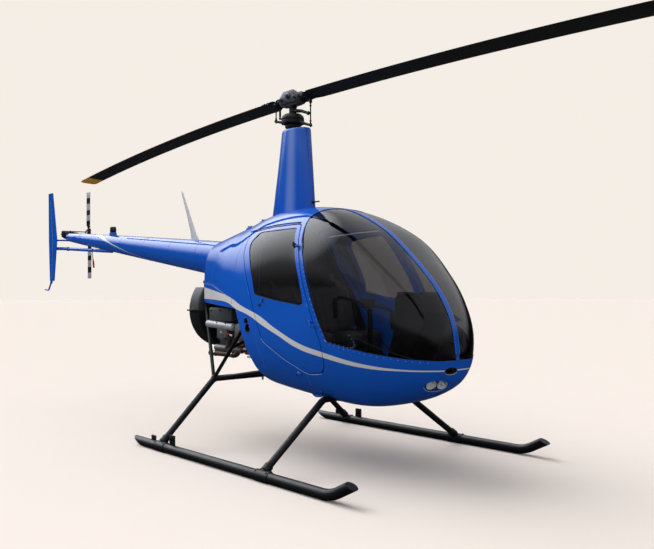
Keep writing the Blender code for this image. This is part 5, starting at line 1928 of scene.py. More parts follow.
@dataclass
class RearBody:
    """Cowling behind the cabin, the mast fairing and the tail cone."""

    hull: Hull
    front: float = 0.1203
    rear: float = 0.880
    fairing_rows: tuple[tuple[float, ...], ...] = (
        (1.790, 0.497, 0.209, -0.0026), (1.900, 0.465, 0.200, -0.009), (2.200, 0.379, 0.185, -0.026),
        (2.455, 0.315, 0.170, -0.037), (2.468, 0.309, 0.166, -0.037), (2.474, 0.297, 0.156, -0.037),
        (2.476, 0.280, 0.142, -0.037))
    cone_rows: tuple[tuple[float, float, float], ...] = (
        (0.700, 1.446, 0.167), (1.290, 1.512, 0.149), (2.440, 1.640, 0.113), (3.780, 1.788, 0.068),
        (4.215, 1.836, 0.050), (4.252, 1.840, 0.043), (4.265, 1.842, 0.034))

    def make(self) -> None:
        """Build cowling, fairing and tail cone with what is fixed to them."""
        self.cowling()
        self.fairing()
        self.cone()
        self.small_parts()

    def cowling(self) -> None:
        """The cowling's skin with its rear bulkhead."""
        item = self.hull.solid()
        inside = self.hull.solid(COWL_WALL)
        block = bmesh.new()
        bmesh.ops.create_cube(block, size=1.0, matrix=Matrix.Translation((0, self.rear - 0.014 + 1.0, 1.5))
                              @ Matrix.Diagonal((2.4, 2.0, 3.0, 1.0)))
        combine(inside, to_object(block))
        combine(item, inside)
        for low, high in ((-3.0, self.front), (self.rear, 3.0)):
            slab = [Vector((-1.2, 0.0)), Vector((1.2, 0.0)), Vector((1.2, 3.0)), Vector((-1.2, 3.0))]
            combine(item, to_object(prism(slab, low, high, Axis.Y)))
        combine(item, to_object(prism(rounded(UNDER_COWLING), -1.2, 1.2)))
        combine(item, to_object(loft([self.cone_ring(*row, 0.0003, 96) for row in self.cone_rows[:3]])))
        item.data.materials.clear()
        item.data.materials.append(PAINT.material())
        item.data.materials.append(SATIN_BLACK.material())
        self.hull.shade(item, inner=1)
        settle(item, "cowling_skin", "airframe", ["upper_cowling"])

    def fairing_ring(self, height: float, chord: float, thickness: float, middle: float,
                     sides: int = 96) -> list[Point]:
        """One level section of the mast fairing, blunt ahead and fine behind.

        Args:
            height: Height of the section.
            chord: Its length.
            thickness: Its width.
            middle: Station of its middle.
            sides: Number of points.

        Returns:
            The ring's points.
        """
        ring = []
        for angle in circle(sides):
            place = -math.cos(angle)
            taper = 1.0 - 0.30 * max(place, 0.0) ** 2
            ring.append((thickness / 2 * math.sin(angle) * taper, middle + chord / 2 * place, height))
        return ring

    def fairing(self) -> None:
        """The tall fairing round the mast, with its seams, top plate and air data probe."""
        # The fairing's paint carries a painted reflection band on each side.
        build = Build(PAINT_MAST_REFLECTION)
        build.add(loft([self.fairing_ring(*row) for row in self.fairing_rows]))
        build.paint(PAINT_PLAIN)
        for share in (0.30, 0.335):
            for side in Side:
                line = []
                for height, chord, thickness, middle in self.fairing_rows[:4]:
                    ring = self.fairing_ring(height, chord, thickness, middle)
                    spot = Vector(ring[round(share * len(ring))])
                    line.append(Vector((-side.value * spot.x, spot.y, spot.z)))
                build.bar(line, 0.0016, 6)
        spots = []
        for height in np.linspace(1.93, 2.44, 16):
            rows = np.array(self.fairing_rows[:4])
            row = [float(np.interp(height, rows[:, 0], rows[:, k])) for k in range(1, 4)]
            ring = self.fairing_ring(float(height), *row)
            for side in Side:
                spot = Vector(ring[round(0.317 * len(ring))])
                spots.append((Vector((-side.value * spot.x, spot.y, spot.z)), Vector((-side.value, 0.15, 0))))
        build.rivets(spots, 0.0028)
        build.paint(SATIN_BLACK).bar(((0, -0.236, 1.884), (0, -0.270, 1.884), (0, -0.318, 1.884)), 0.0055, 12)
        build.lathe(((0.012, 0), (0.012, 0.01), (0.006, 0.02)), (0, -0.240, 1.884), (0, -1, 0), 16)
        build.done("mast_cover", "airframe", ["mast_fairing"], angle=60)

    def cone_ring(self, y: float, height: float, radius: float, growth: float = 0.0,
                  sides: int = 96) -> list[Point]:
        """One section of the tail cone.

        Args:
            y: Station along Y.
            height: Height of the axis.
            radius: Radius of the section.
            growth: Distance that it grows.
            sides: Number of points.

        Returns:
            The ring's points.
        """
        return [((radius + growth) * math.cos(a), y, height + (radius + growth) * math.sin(a))
                for a in circle(sides)]

    def cone_at(self, y: float) -> tuple[float, float]:
        """Height of the tail cone's axis and its radius at a station.

        Args:
            y: Station along Y.

        Returns:
            Height and radius.
        """
        rows = np.array(self.cone_rows)
        return float(np.interp(y, rows[:, 0], rows[:, 1])), float(np.interp(y, rows[:, 0], rows[:, 2]))

    def cone(self) -> None:
        """The tail cone with its ring seams and rivets."""
        build = Build(PAINT_TAIL)
        build.add(loft([self.cone_ring(*row) for row in self.cone_rows]))
        spots = []
        for y in (1.22, 1.72, 2.24, 2.76, 3.30, 3.84):
            height, radius = self.cone_at(y)
            for place in (y - 0.012, y + 0.012):
                h, r = self.cone_at(place)
                count = max(20, int(r * 2 * math.pi / 0.030))
                spots += [(Vector((r * math.cos(a), place, h + r * math.sin(a))),
                           Vector((math.cos(a), 0.0, math.sin(a)))) for a in circle(count)]
            build.add(loft([self.cone_ring(y - 0.0010, height, radius, 0.0008),
                            self.cone_ring(y + 0.0010, height, radius, 0.0008)]))
        build.rivets(spots, 0.0022)
        build.done("tail_boom", "airframe", ["tail_cone"], angle=60)

    def small_parts(self) -> None:
        """Cowling seams and rivets, fuel caps, whip aerial and beacon."""
        seams = Build(PAINT_PLAIN)
        # Cowling rivet heads in the paler blue: painted highlight.
        rivets = Build(PAINT_HIGHLIGHT)
        for side in Side:
            lower = ((0.865, 1.262), (0.60, 1.240), (0.42, 1.205), (0.20, 1.155))
            rows = [lower, ((0.865, 1.275), (0.60, 1.253), (0.42, 1.218))]
            rows += [((0.655, 1.290), (0.650, 1.400), (0.640, 1.520)), ((0.860, 1.180), (0.862, 1.400), (0.860, 1.540))]
            for row in rows:
                line = self.hull.line(row, side, gap=0.026)
                rivets.rivets([(p, self.hull.normal(p)) for p in line], 0.0032)
            seams.bar(self.hull.line(lower, side, 0.001), 0.0020, 6)
            front = self.hull.line(((0.118, 1.100), (0.120, 1.400), (0.119, 1.600)), side, 0.0012)
            seams.bar(front, 0.0022, 6)
            vertical = self.hull.line(((0.640, 1.290), (0.636, 1.400), (0.626, 1.520)), side, 0.001)
            seams.bar(vertical, 0.0018, 6)
        seams.done("cowling_seams", "airframe")
        rivets.done("cowling_rivets", "airframe", angle=80)
        caps = Build(PAINT_PLAIN)
        for x, y in ((-0.215, 0.290), (-0.150, 0.190)):
            place = self.hull.crown(x, y)
            normal = self.hull.normal(place)
            caps.lathe(((0, 0.014), (0.020, 0.013), (0.026, 0.009), (0.030, 0.0), (0.034, -0.004), (0, -0.004)),
                       place, normal, 28)
            caps.box((-0.022, -0.004, 0.010), (0.022, 0.004, 0.020), 0.002,
                     Matrix.Translation(place) @ along(normal))
        caps.done("filler_caps", "airframe")
        height, radius = self.cone_at(1.445)
        aerial = Build(WHITE)
        rings = []
        for lift, y, half, thick in ((-0.01, 1.445, 0.072, 0.012), (0.012, 1.449, 0.062, 0.011),
                                     (0.06, 1.470, 0.045, 0.009), (0.25, 1.562, 0.028, 0.006),
                                     (0.45, 1.665, 0.015, 0.004), (0.475, 1.680, 0.008, 0.002)):
            rings.append([(thick * math.sin(a), y + half * math.cos(a), height + radius + lift)
                          for a in circle(24)])
        aerial.add(loft(rings))
        aerial.done("aerial", "airframe", ["whip_antenna"])
        height, radius = self.cone_at(3.10)
        top = height + radius
        lamp = Build(PAINT_PLAIN)
        lamp.lathe(((0, -0.02), (0.040, -0.02), (0.039, 0.020), (0.036, 0.028), (0, 0.028)), (0, 3.10, top))
        lamp.paint(LAMP_BLACK).lathe(((0, 0.028), (0.033, 0.028), (0.0335, 0.075), (0.030, 0.089), (0.018, 0.0945),
                                      (0, 0.095)), (0, 3.10, top))
        lamp.done("beacon_lamp", "airframe", ["beacon"])


@dataclass
class Empennage:
    """Fins, stabiliser, tail skid, guard tube and the tail gearbox."""

    fin_x: float = -0.150
    thickness: float = 0.024
    level: float = 1.800

    def make(self) -> None:
        """Build the tail's fixed pieces."""
        self.fins()
        self.guard()
        self.gearbox()

    def fin_rings(self, rows: Sequence[tuple[float, float, float]]) -> list[list[Point]]:
        """Sections of a fin, thick at a third of its chord and fine behind.

        Args:
            rows: Rows of height, front and rear station.

        Returns:
            The rings, one a row.
        """
        rings = []
        for height, front, rear in rows:
            ring = []
            for angle in circle(28):
                share = (1 - math.cos(angle)) / 2
                swell = 1.9 * math.sqrt(max(share, 0.0)) * (1 - share) + 0.12 * share
                ring.append((self.fin_x + math.copysign(self.thickness / 2 * min(swell, 1.0), math.sin(angle))
                             * (0.0 if abs(math.sin(angle)) < 1e-9 else 1.0),
                             front + (rear - front) * share, height))
            rings.append(ring)
        return rings

    def fins(self) -> None:
        """Upper and lower fin and the stabiliser."""
        upper = ((1.8002, 4.232, 4.482), (2.280, 4.340, 4.494), (2.364, 4.357, 4.496), (2.368, 4.360, 4.493))
        lower = ((1.7998, 4.232, 4.482), (1.345, 4.302, 4.447), (1.318, 4.307, 4.444), (1.315, 4.310, 4.441))
        for name, rows in (("upper", upper), ("lower", lower)):
            build = Build(PAINT_PLAIN)
            build.add(loft(self.fin_rings(rows)))
            # Spar lines and rivets in the paler blue: painted highlight on them.
            build.paint(PAINT_HIGHLIGHT)
            for side in Side:
                spar = [(self.fin_x + side.value * 0.0091, front + 0.45 * (rear - front), height)
                        for height, front, rear in rows[:2]]
                build.bar(spar, 0.0019, 8)
                ribs = [Vector(spar[0]).lerp(Vector(spar[1]), share / 9) for share in range(1, 9)]
                build.rivets([(spot + Vector((0, 0.030, 0)), Vector((side.value, 0, 0))) for spot in ribs], 0.0024)
            build.paint(PAINT_PLAIN)
            build.done(f"{name}_fin_skin", "airframe", [f"{name}_fin"], angle=50)
        build = Build(PAINT_PLAIN)
        rings = []
        for x, front, rear in ((0.058, 4.150, 4.330), (-0.1375, 4.235, 4.440)):
            ring = []
            for angle in circle(28):
                share = (1 - math.cos(angle)) / 2
                swell = min(1.9 * math.sqrt(share) * (1 - share) + 0.12 * share, 1.0)
                ring.append((x, front + (rear - front) * share,
                             self.level + math.copysign(self.thickness / 2 * swell, math.sin(angle))))
            rings.append(ring)
        build.add(loft(rings))
        build.done("stabiliser_skin", "airframe", ["stabiliser"], angle=50)

    def guard(self) -> None:
        """Tail skid and the guard tube that runs to the fin."""
        build = Build(PAINT_PLAIN)
        build.bar(bent(((self.fin_x, 4.385, 1.318, 0.0), (self.fin_x, 4.480, 1.205, 0.020),
                        (self.fin_x, 4.583, 1.212, 0.0))), 0.009, 14)
        build.ball((self.fin_x, 4.583, 1.212), 0.0095, steps=14)
        build.lathe(((0, 0), (0.014, 0), (0.014, 0.03), (0.010, 0.04)), (self.fin_x, 4.392, 1.310),
                    (0, 0.64, -0.77), 16)
        build.done("tail_bumper", "airframe", ["tail_skid"])
        tube = Build(PAINT_PLAIN)
        route = bent(((self.fin_x + 0.0123, 4.300, 1.700, 0.0), (self.fin_x + 0.050, 4.200, 1.697, 0.060),
                      (0.0, 3.120, 1.628, 0.0)))
        tube.bar(route, 0.0185, 20)
        tube.lathe(((0.019, 0), (0.024, 0.002), (0.024, 0.018), (0.019, 0.020)), (-0.090, 4.050, 1.6875),
                   (-0.045, 1.0, 0.062), 24)
        tube.done("guard_tube", "airframe", ["tail_guard"])
        streamer = Build(DARK_METAL)
        streamer.bar(smooth_path(((-0.052, 3.500, 1.672), (-0.055, 3.498, 1.640), (-0.053, 3.485, 1.560),
                                  (-0.050, 3.470, 1.490))), 0.004, 8)
        streamer.paint(RED_PART).bar(((-0.0525, 3.484, 1.565), (-0.0515, 3.476, 1.520), (-0.050, 3.466, 1.455)),
                                     (0.004, 0.011, 0.010), 8, squash=0.35)
        streamer.done("hanging_streamer", "airframe")

    def gearbox(self) -> None:
        """Tail gearbox with its output housing and pitch linkage."""
        build = Build(SATIN_BLACK)
        build.bar(((0, 4.266, 1.846), (0, 4.290, 1.860), (0, 4.345, 1.868), (0, 4.375, 1.870)),
                  (0.033, 0.048, 0.044, 0.028), 28)
        build.lathe(((0, -0.045), (0.036, -0.045), (0.042, -0.040), (0.042, 0.03), (0.034, 0.05), (0.028, 0.12),
                     (0.024, 0.150), (0.0135, 0.150), (0.0135, 0.060)), (0, 4.332, 1.880), (1, 0, 0), 32)
        for angle in circle(6):
            spot = (-0.046, 4.332 + 0.034 * math.cos(angle), 1.880 + 0.034 * math.sin(angle))
            build.bolt(spot, (-1, 0, 0), 0.004, 0.005)
        build.bar(((0.030, 4.300, 1.880), (0.030, 4.280, 1.912), (0.225, 4.290, 1.915)), 0.006, 12)
        build.bar(((0.060, 4.285, 1.912), (0.060, 4.300, 1.880)), 0.005, 10)
        build.ball((0.225, 4.290, 1.915), 0.010, steps=14)
        build.ball((0.030, 4.282, 1.912), 0.011, steps=14)
        build.done("tail_gear_housing", "airframe", ["tail_gearbox"])


@dataclass(frozen=True)
class BladeSet:
    """How one main blade rests, and where its controls end."""

    name: str
    turn: float
    root_z: float
    tip_z: float
    bow: float
    pitch: float
    arm: float
    horn: float

    @property
    def matrix(self) -> Matrix:
        """Turn about the mast from the aft blade.

        Returns:
            The turn.
        """
        return Matrix.Rotation(self.turn, 4, "Z")

    def height(self, t: float) -> float:
        """Height of the blade's middle line at a share of its length.

        Args:
            t: Share of the length.

        Returns:
            The height.
        """
        return self.root_z + (self.tip_z - self.root_z) * t + 4 * self.bow * t * (1 - t)


@dataclass
class MainRotor:
    """Hub, blades, swashplates and links on the mast."""

    radius: float = 3.835
    root: float = 0.205
    chord: float = 0.183
    thickness: float = 0.024
    link_x: float = 0.015
    link_y: float = 0.235
    shaft: float = 0.021
    blades: tuple[BladeSet, ...] = (
        BladeSet("aft", 0.0, 2.725, 2.453, 0.044, math.radians(6.0), 2.587, 2.690),
        BladeSet("forward", math.pi, 2.703, 2.590, 0.037, math.radians(-5.5), 2.480, 2.668))

    def make(self) -> None:
        """Build the head, both blades and the controls under them."""
        self.head()
        for blade in self.blades:
            self.blade(blade)
            self.link(blade)
        self.plates()

    def blade(self, rest: BladeSet) -> None:
        """One blade with its root fittings, tip cover and pitch horn.

        Args:
            rest: How the blade rests.
        """
        build = Build(BLADE)
        turn = rest.matrix
        cos, sin = math.cos(rest.pitch), math.sin(rest.pitch)
        span = self.radius - self.root
        rings = []
        for t in (0.0, 0.012, 0.03, *np.linspace(0.06, 0.975, 30), 0.99, 0.997, 1.0):
            near = min(1.0, 0.55 + t * 16)
            slim = 1.0 if t < 0.99 else (0.8 if t < 0.999 else 0.45)
            ring = []
            for angle in circle(36):
                share = (1 - math.cos(angle)) / 2
                swell = (2.9690 * math.sqrt(share) - 1.26 * share - 3.516 * share**2 + 2.843 * share**3
                         - 1.015 * share**4) / 2.0
                x = (share - 0.28) * self.chord * near * (slim if t > 0.99 else 1.0)
                up = math.copysign(self.thickness / 2 * (swell + 0.03), math.sin(angle)) * slim
                ring.append((x * cos + up * sin, self.root + span * t, rest.height(t) - x * sin + up * cos))
            rings.append(ring)
        build.add(loft(rings), matrix=turn)
        build.paint(EDGE_BROWN)
        x = -0.28 * self.chord
        edge = [turn @ Vector((x * cos, self.root + span * t, rest.height(t) - x * sin))
                for t in np.linspace(0.05, 0.985, 30)]
        build.bar(edge, 0.0024, 8)
        build.paint(DARK_METAL)
        build.bar([turn @ Vector(p) for p in ((0, 0.1206, 2.722), (0, 0.135, 2.7205), (0, 0.190, 2.714),
                                              (0, 0.300, rest.root_z - 0.004))], (0.036, 0.039, 0.034, 0.012), 24)
        for k in range(5):
            spot = turn @ Vector((0, 0.132 + 0.011 * k, 2.7210 - 0.0013 * k))
            build.paint(RUBBER).lathe(((0.034, -0.0035), (0.0405, 0.0), (0.034, 0.0035)), spot,
                                      turn @ Vector((0, 1, -0.12)), 28)
        build.paint(DARK_METAL)
        for y in (0.245, 0.290, 0.335):
            for x in (-0.030, 0.030):
                z = rest.height((y - self.root) / span) - x * sin + 0.0105
                build.bolt(turn @ Vector((x, y, z)), (0, 0, 1), 0.007, 0.007)
        plate = prism([Vector(p) for p in ((-0.045, 0.205), (0.055, 0.205), (0.045, 0.380), (-0.030, 0.380))],
                      rest.root_z + 0.010, rest.root_z + 0.016, Axis.Z)
        build.add(plate, 0.002, turn)
        start, end = Vector((-0.010, 0.170, 2.705)), Vector((self.link_x, self.link_y, rest.horn))
        tip_spot = end + (end - start).normalized() * 0.014
        build.bar([turn @ start, turn @ ((start + end) / 2), turn @ tip_spot], (0.020, 0.015, 0.010), 18)
        build.bolt(turn @ (end + Vector((0, 0.006, 0.006))), (0, 0, 1), 0.007, 0.008)
        build.done(f"main_blade_{rest.name}_skin", "main_rotor", [f"main_blade_{rest.name}"], angle=40)

    def head(self) -> None:
        """Teetering hub with its hinge bolts, nuts and cap."""
        build = Build(HUB_METAL)
        outline = [Vector(p) for p in ((-0.120, 2.676), (-0.060, 2.668), (0.060, 2.668), (0.120, 2.676),
                                       (0.120, 2.752), (0.070, 2.770), (-0.070, 2.770), (-0.120, 2.752))]
        build.add(prism(outline, -0.036, 0.036), bevel=0.010)
        for side in Side:
            cheek = [Vector(p) for p in ((-0.110, 2.690), (0.110, 2.690), (0.118, 2.740), (0.060, 2.790),
                                         (-0.060, 2.790), (-0.118, 2.740))]
            low, high = sorted((side.value * 0.036, side.value * 0.050))
            build.add(prism(cheek, low, high), bevel=0.004)
            for y in (-0.084, 0.0, 0.084):
                z = 2.745 if y == 0.0 else 2.722
                build.bolt((side.value * 0.050, y, z), (side.value, 0, 0), 0.013 if y else 0.018, 0.018)
                build.bar(((side.value * 0.050, y, z), (side.value * 0.076, y, z)), 0.007, 10)
        build.paint(BARE_METAL)
        for side in Side:
            build.lathe(((0.010, 0), (0.024, 0.002), (0.024, 0.008), (0.010, 0.010)),
                        (side.value * 0.052, 0, 2.745), (side.value, 0, 0), 24)
        build.paint(DARK_METAL)
        build.bar(((0, 0, 2.755), (0, 0, 2.780), (0, 0, 2.792), (0, 0, 2.800)), (0.036, 0.034, 0.030, 0.014), 28)
        for k in range(3):
            build.bar(((-0.030, -0.05 + 0.05 * k, 2.772), (0.030, -0.045 + 0.05 * k, 2.776)), 0.006, 10)
        build.done("hub_assembly", "main_rotor", ["rotor_hub"])
        mast = Build(SATIN_BLACK)
        mast.lathe(((0, 2.330), (self.shaft, 2.330), (self.shaft, 2.600), (0.030, 2.604), (0.030, 2.655),
                    (0.034, 2.660), (0.034, 2.667), (0, 2.667)), steps=32)
        mast.done("mast_tube", "main_rotor", ["rotor_shaft"])

    def link(self, rest: BladeSet) -> None:
        """One pitch link with its rod ends and lock nuts.

        Args:
            rest: Blade that the link belongs to.
        """
        build = Build(DARK_METAL)
        foot = rest.matrix @ Vector((self.link_x, self.link_y, rest.arm + 0.011))
        head = rest.matrix @ Vector((self.link_x, self.link_y, rest.horn - 0.013))
        build.bar((foot, head), 0.0052, 14)
        span = head - foot
        for share in (0.14, 0.86):
            spot = foot + span * share
            build.lathe(((0, -0.006), (0.0085, -0.006), (0.0085, 0.006), (0, 0.006)), spot, (0, 0, 1), 6)
        for spot in (foot, head):
            build.ball(spot, 0.0105, (1, 1, 0.8), 14)
        build.done(f"link_{rest.name}", "main_rotor", [f"pitch_link_{rest.name}"])

    def plates(self) -> None:
        """Turning plate with its arms, the dome over it, and the fixed plate on its rods."""
        upper = Build(SATIN_BLACK)
        inner = self.shaft + 0.0006
        upper.lathe(((inner, 2.526), (0.086, 2.526), (0.092, 2.532), (0.092, 2.550), (0.088, 2.555), (0.091, 2.560),
                     (0.090, 2.574), (0.083, 2.590), (0.068, 2.603), (0.050, 2.606), (inner, 2.606),
                     (inner, 2.526)), steps=48)
        for rest in self.blades:
            turn = rest.matrix
            start, end = Vector((0.0, 0.055, 2.541)), Vector((self.link_x, self.link_y, rest.arm))
            tip = end + (end - start).normalized() * 0.014
            upper.bar([turn @ start, turn @ ((start + end) / 2), turn @ tip], (0.017, 0.012, 0.009), 16)
            upper.bolt(turn @ (end + Vector((0, 0, -0.006))), (0, 0, -1), 0.006, 0.007)
        upper.paint(DARK_METAL)
        for angle in circle(8):
            upper.bolt((0.084 * math.cos(angle), 0.084 * math.sin(angle), 2.526), (0, 0, -1), 0.0045, 0.005)
        lever = ((0.0, -0.028, 2.630), (0.0, -0.110, 2.614), (0.0, -0.190, 2.584))
        upper.bar(lever, (0.016, 0.013, 0.010), 14)
        upper.paint(DARK_METAL).ball(lever[-1], 0.016, steps=16)
        upper.paint(DARK_METAL).bar(((0.0, 0.164, 2.598), (0.0, 0.164, 2.692)), 0.009, 14)
        upper.bar(((0.0, 0.090, 2.560), (0.0, 0.164, 2.600)), 0.008, 12)
        upper.paint(BARE_METAL).ball((0.0, 0.164, 2.600), 0.012, steps=16)
        upper.done("turning_swashplate", "main_rotor", ["swashplate_upper"])
        lower = Build(SATIN_BLACK)
        inner = self.shaft + 0.003
        lower.lathe(((inner, 2.494), (0.058, 2.494), (0.062, 2.498), (0.062, 2.517), (0.058, 2.521), (inner, 2.521),
                     (inner, 2.494)), steps=40)
        for degrees in (90, 210, 330):
            x, y = 0.050 * math.cos(math.radians(degrees)), 0.050 * math.sin(math.radians(degrees))
            lower.bar(((x, y, 2.4763), (x, y, 2.500)), 0.007, 14)
            lower.ball((x * 1.1, y * 1.1, 2.500), 0.011, steps=14)
        lower.done("fixed_swashplate", "airframe", ["swashplate_lower"])


@dataclass
class TailRotor:
    """Two-blade tail rotor on the port side."""

    x: float = 0.292
    y: float = 4.332
    z: float = 1.880
    radius: float = 0.533
    chord: float = 0.102

    def make(self) -> None:
        """Build the hub and both blades."""
        build = Build(DARK_METAL)
        build.bar(((self.x - 0.205, self.y, self.z), (self.x + 0.018, self.y, self.z)), 0.0128, 24)
        build.box((self.x - 0.018, self.y - 0.021, self.z - 0.084), (self.x + 0.018, self.y + 0.021, self.z + 0.084),
                  0.006)
        build.bolt((self.x + 0.012, self.y, self.z), (1, 0, 0), 0.010, 0.008)
        for side in (-1, 1):
            spot = Vector((self.x - 0.045, self.y - 0.028, self.z + side * 0.060))
            build.bar((spot, spot + Vector((0.045, 0.008, side * 0.010))), 0.005, 10)
            build.bar((Vector((self.x - 0.045, self.y, self.z)), spot), 0.006, 10)
            build.bolt((self.x + 0.018, self.y, self.z + side * 0.060), (1, 0, 0), 0.007, 0.006)
        build.done("tail_hub", "tail_rotor", ["tail_rotor_hub"])
        for name, turn in (("upper", 0.0), ("lower", math.pi)):
            blade = Build(TAIL_BLADE)
            rings = []
            for t in (0.0, 0.03, 0.10, 0.30, 0.60, 0.90, 0.985, 0.996, 1.0):
                reach = 0.0855 + (self.radius - 0.0855) * t
                near = min(1.0, 0.45 + t * 5.5)
                slim = 1.0 if t < 0.99 else 0.6
                ring = []
                for angle in circle(28):
                    share = (1 - math.cos(angle)) / 2
                    swell = min(1.9 * math.sqrt(share) * (1 - share) + 0.10 * share, 1.0)
                    ring.append((math.copysign(0.0065 * swell * slim, math.sin(angle)),
                                 (share - 0.30) * self.chord * near, reach))
                rings.append(ring)
            matrix = Matrix.Translation((self.x, self.y, self.z)) @ Matrix.Rotation(turn, 4, "X")
            blade.add(loft(rings), matrix=matrix)
            blade.paint(DARK_METAL)
            for dy in (-0.012, 0.016):
                blade.bolt(matrix @ Vector((0.006, dy, 0.105)), (1, 0, 0), 0.006, 0.005)
            blade.done(f"tail_blade_{name}_skin", "tail_rotor", [f"tail_blade_{name}"])


@dataclass
class EngineBay:
    """Engine, cooling scroll, exhaust and the tube frame round them."""

    tube: float = 0.015
    knee: tuple[float, float, float] = (0.468, 0.420, 0.504)
    cowl_rear: float = 0.880

    def make(self) -> None:
        """Build everything under the cowling."""
        self.engine()
        self.scroll()
        self.exhaust()
        for side in Side:
            self.frame(side)

    def routes(self, side: Side) -> list[list[Vector]]:
        """The three tubes of one side of the frame.

        Args:
            side: Side of the frame.

        Returns:
            The path of each tube.
        """
        knee = (side.value * self.knee[0], *self.knee[1:])
        behind = self.cowl_rear + self.tube + 0.0003
        up = (side.value * 0.232, behind, 1.070, 0.050)
        return [bent((knee, up, (side.value * 0.240, behind, 1.275))),
                [Vector(knee), Vector((side.value * 0.455, -0.055, 1.020))],
                [Vector(knee), Vector((side.value * 0.300, -0.125, 0.600))]]

    def frame(self, side: Side) -> None:
        """Welded tubes of one side with a ball at the knee and end fittings.

        Args:
            side: Side of the frame.
        """
        build = Build(FRAME_BLACK)
        for route in self.routes(side):
            build.bar(route, self.tube - 0.0005, 20)
            build.ball(route[-1], self.tube * 1.25, steps=16)
        build.ball((side.value * self.knee[0], *self.knee[1:]), 0.027, steps=20)
        top = self.routes(side)[0][-1]
        build.bolt(top + Vector((0, 0.016, 0)), (0, 1, 0), 0.009, 0.010)
        build.done(f"tube_frame_{side.word}", "airframe", [f"engine_frame_{side.word}"])

    def engine(self) -> None:
        """Crankcase, finned cylinders, covers, pipes and wires."""
        build = Build(CAST_METAL)
        build.box((-0.128, 0.122, 0.702), (0.128, 0.858, 1.018), 0.024)
        for y in (0.20, 0.40, 0.62, 0.80):
            build.box((-0.132, y - 0.010, 0.706), (0.132, y + 0.010, 1.012), 0.004)
        for side in Side:
            sign = side.value
            for y in (0.265, 0.515):
                build.paint(CAST_METAL)
                for k in range(9):
                    x = 0.140 + 0.016 * k
                    radius = 0.082 if k < 8 else 0.086
                    build.lathe(((0, 0), (radius, 0.0), (radius, 0.005), (0, 0.005)), (sign * x, y, 0.875),
                                (sign, 0, 0), 28)
                build.lathe(((0, 0), (0.066, 0), (0.066, 0.170), (0, 0.170)), (sign * 0.120, y, 0.875),
                            (sign, 0, 0), 28)
                build.paint(CAST_METAL).box((sign * 0.290, y - 0.075, 0.800), (sign * 0.335, y + 0.075, 0.940),
                                            0.020)
                build.paint(DARK_METAL)
                for dy, dz in ((-0.06, 0.815), (0.06, 0.815), (-0.06, 0.938), (0.06, 0.938)):
                    build.bolt((sign * 0.334, y + dy, dz), (sign, 0, 0), 0.006, 0.006)
                build.paint(HOT_METAL).bar(bent(((sign * 0.250, y, 0.805, 0), (sign * 0.255, y, 0.740, 0.03),
                                                 (sign * 0.235, y + 0.10, 0.712, 0))), 0.019, 16)
                build.paint(RED_PART).bar(smooth_path(((sign * 0.10, y + 0.06, 0.985), (sign * 0.20, y + 0.07, 0.972),
                                                       (sign * 0.29, y + 0.03, 0.955))), 0.0045, 8)
            rear, front = self.routes(side)[0][1], self.routes(side)[1]
            foot = front[0].lerp(front[1], 0.50)
            low = self.routes(side)[0][0].lerp(rear, 0.82)
            build.paint(FRAME_BLACK)
            build.bar(((sign * 0.100, low.y, low.z), low), 0.014, 16)
            build.bar(((sign * 0.300, foot.y, 0.820), foot), 0.014, 16)
        build.paint(SATIN_BLACK).box((-0.30, 0.150, 0.962), (0.30, 0.680, 0.985), 0.008)
        for side in Side:
            sign = side.value
            build.paint(SLATE).box((sign * 0.150, 0.385, 0.950), (sign * 0.325, 0.715, 1.062), 0.014)
            build.paint(CAST_LIGHT).bar(((sign * 0.318, 0.350, 0.905), (sign * 0.318, 0.362, 0.906),
                                         (sign * 0.318, 0.730, 0.926), (sign * 0.318, 0.742, 0.926)),
                                        (0.018, 0.029, 0.029, 0.018), 24)
            build.paint(BARE_METAL)
            for y in (0.42, 0.55, 0.68):
                build.bolt((sign * 0.325, y, 1.040), (sign, 0, 0), 0.007, 0.007)
            for index, (y, z) in enumerate(((0.52, 0.858), (0.44, 0.849), (0.39, 0.842), (0.31, 0.805), (0.27, 0.788),
                                            (0.232, 0.771), (0.20, 0.742), (0.17, 0.712), (0.145, 0.684))):
                build.paint(RED_PART if index % 2 else WHITE)
                build.bar(((sign * 0.325, y - 0.016, z - 0.004), (sign * 0.334, y, z + 0.004),
                           (sign * 0.322, y + 0.018, z - 0.002)), 0.0075, 10)
        build.paint(BARE_METAL).bar(smooth_path(((-0.10, 0.20, 0.705), (-0.02, 0.30, 0.675), (0.06, 0.45, 0.690),
                                                 (0.10, 0.60, 0.705))), 0.020, 16)
        build.paint(CAST_METAL).box((-0.080, 0.380, 0.662), (0.080, 0.560, 0.704), 0.014)
        build.done("engine_detail", "airframe", ["engine"])

    def scroll(self) -> None:
        """Cooling scroll with its light upper half, flange and bolts, and the fan in its mouth."""
        low, high = self.cowl_rear + 2 * self.tube + 0.0006, 1.062
        middle = 1.032
        build = Build(SATIN_BLACK)

        def sector(start: float, end: float) -> bmesh.types.BMesh:
            """Part of the ring between two angles, with rounded edges.

            Args:
                start: First angle.
                end: Last angle.

            Returns:
                The part's mesh.
            """
            rings = []
            for angle in np.linspace(start, end, 40):
                cos, sin = math.cos(angle), math.sin(angle)
                outer = 1.0 / math.hypot(cos / 0.305, sin / 0.318)
                profile = rounded(((0.187, low, 0.006), (outer, low, 0.014), (outer, high, 0.020),
                                   (0.187, high, 0.010)), 4)
                rings.append([(p.x * cos, p.y, middle + p.x * sin) for p in profile])
            return loft(rings)

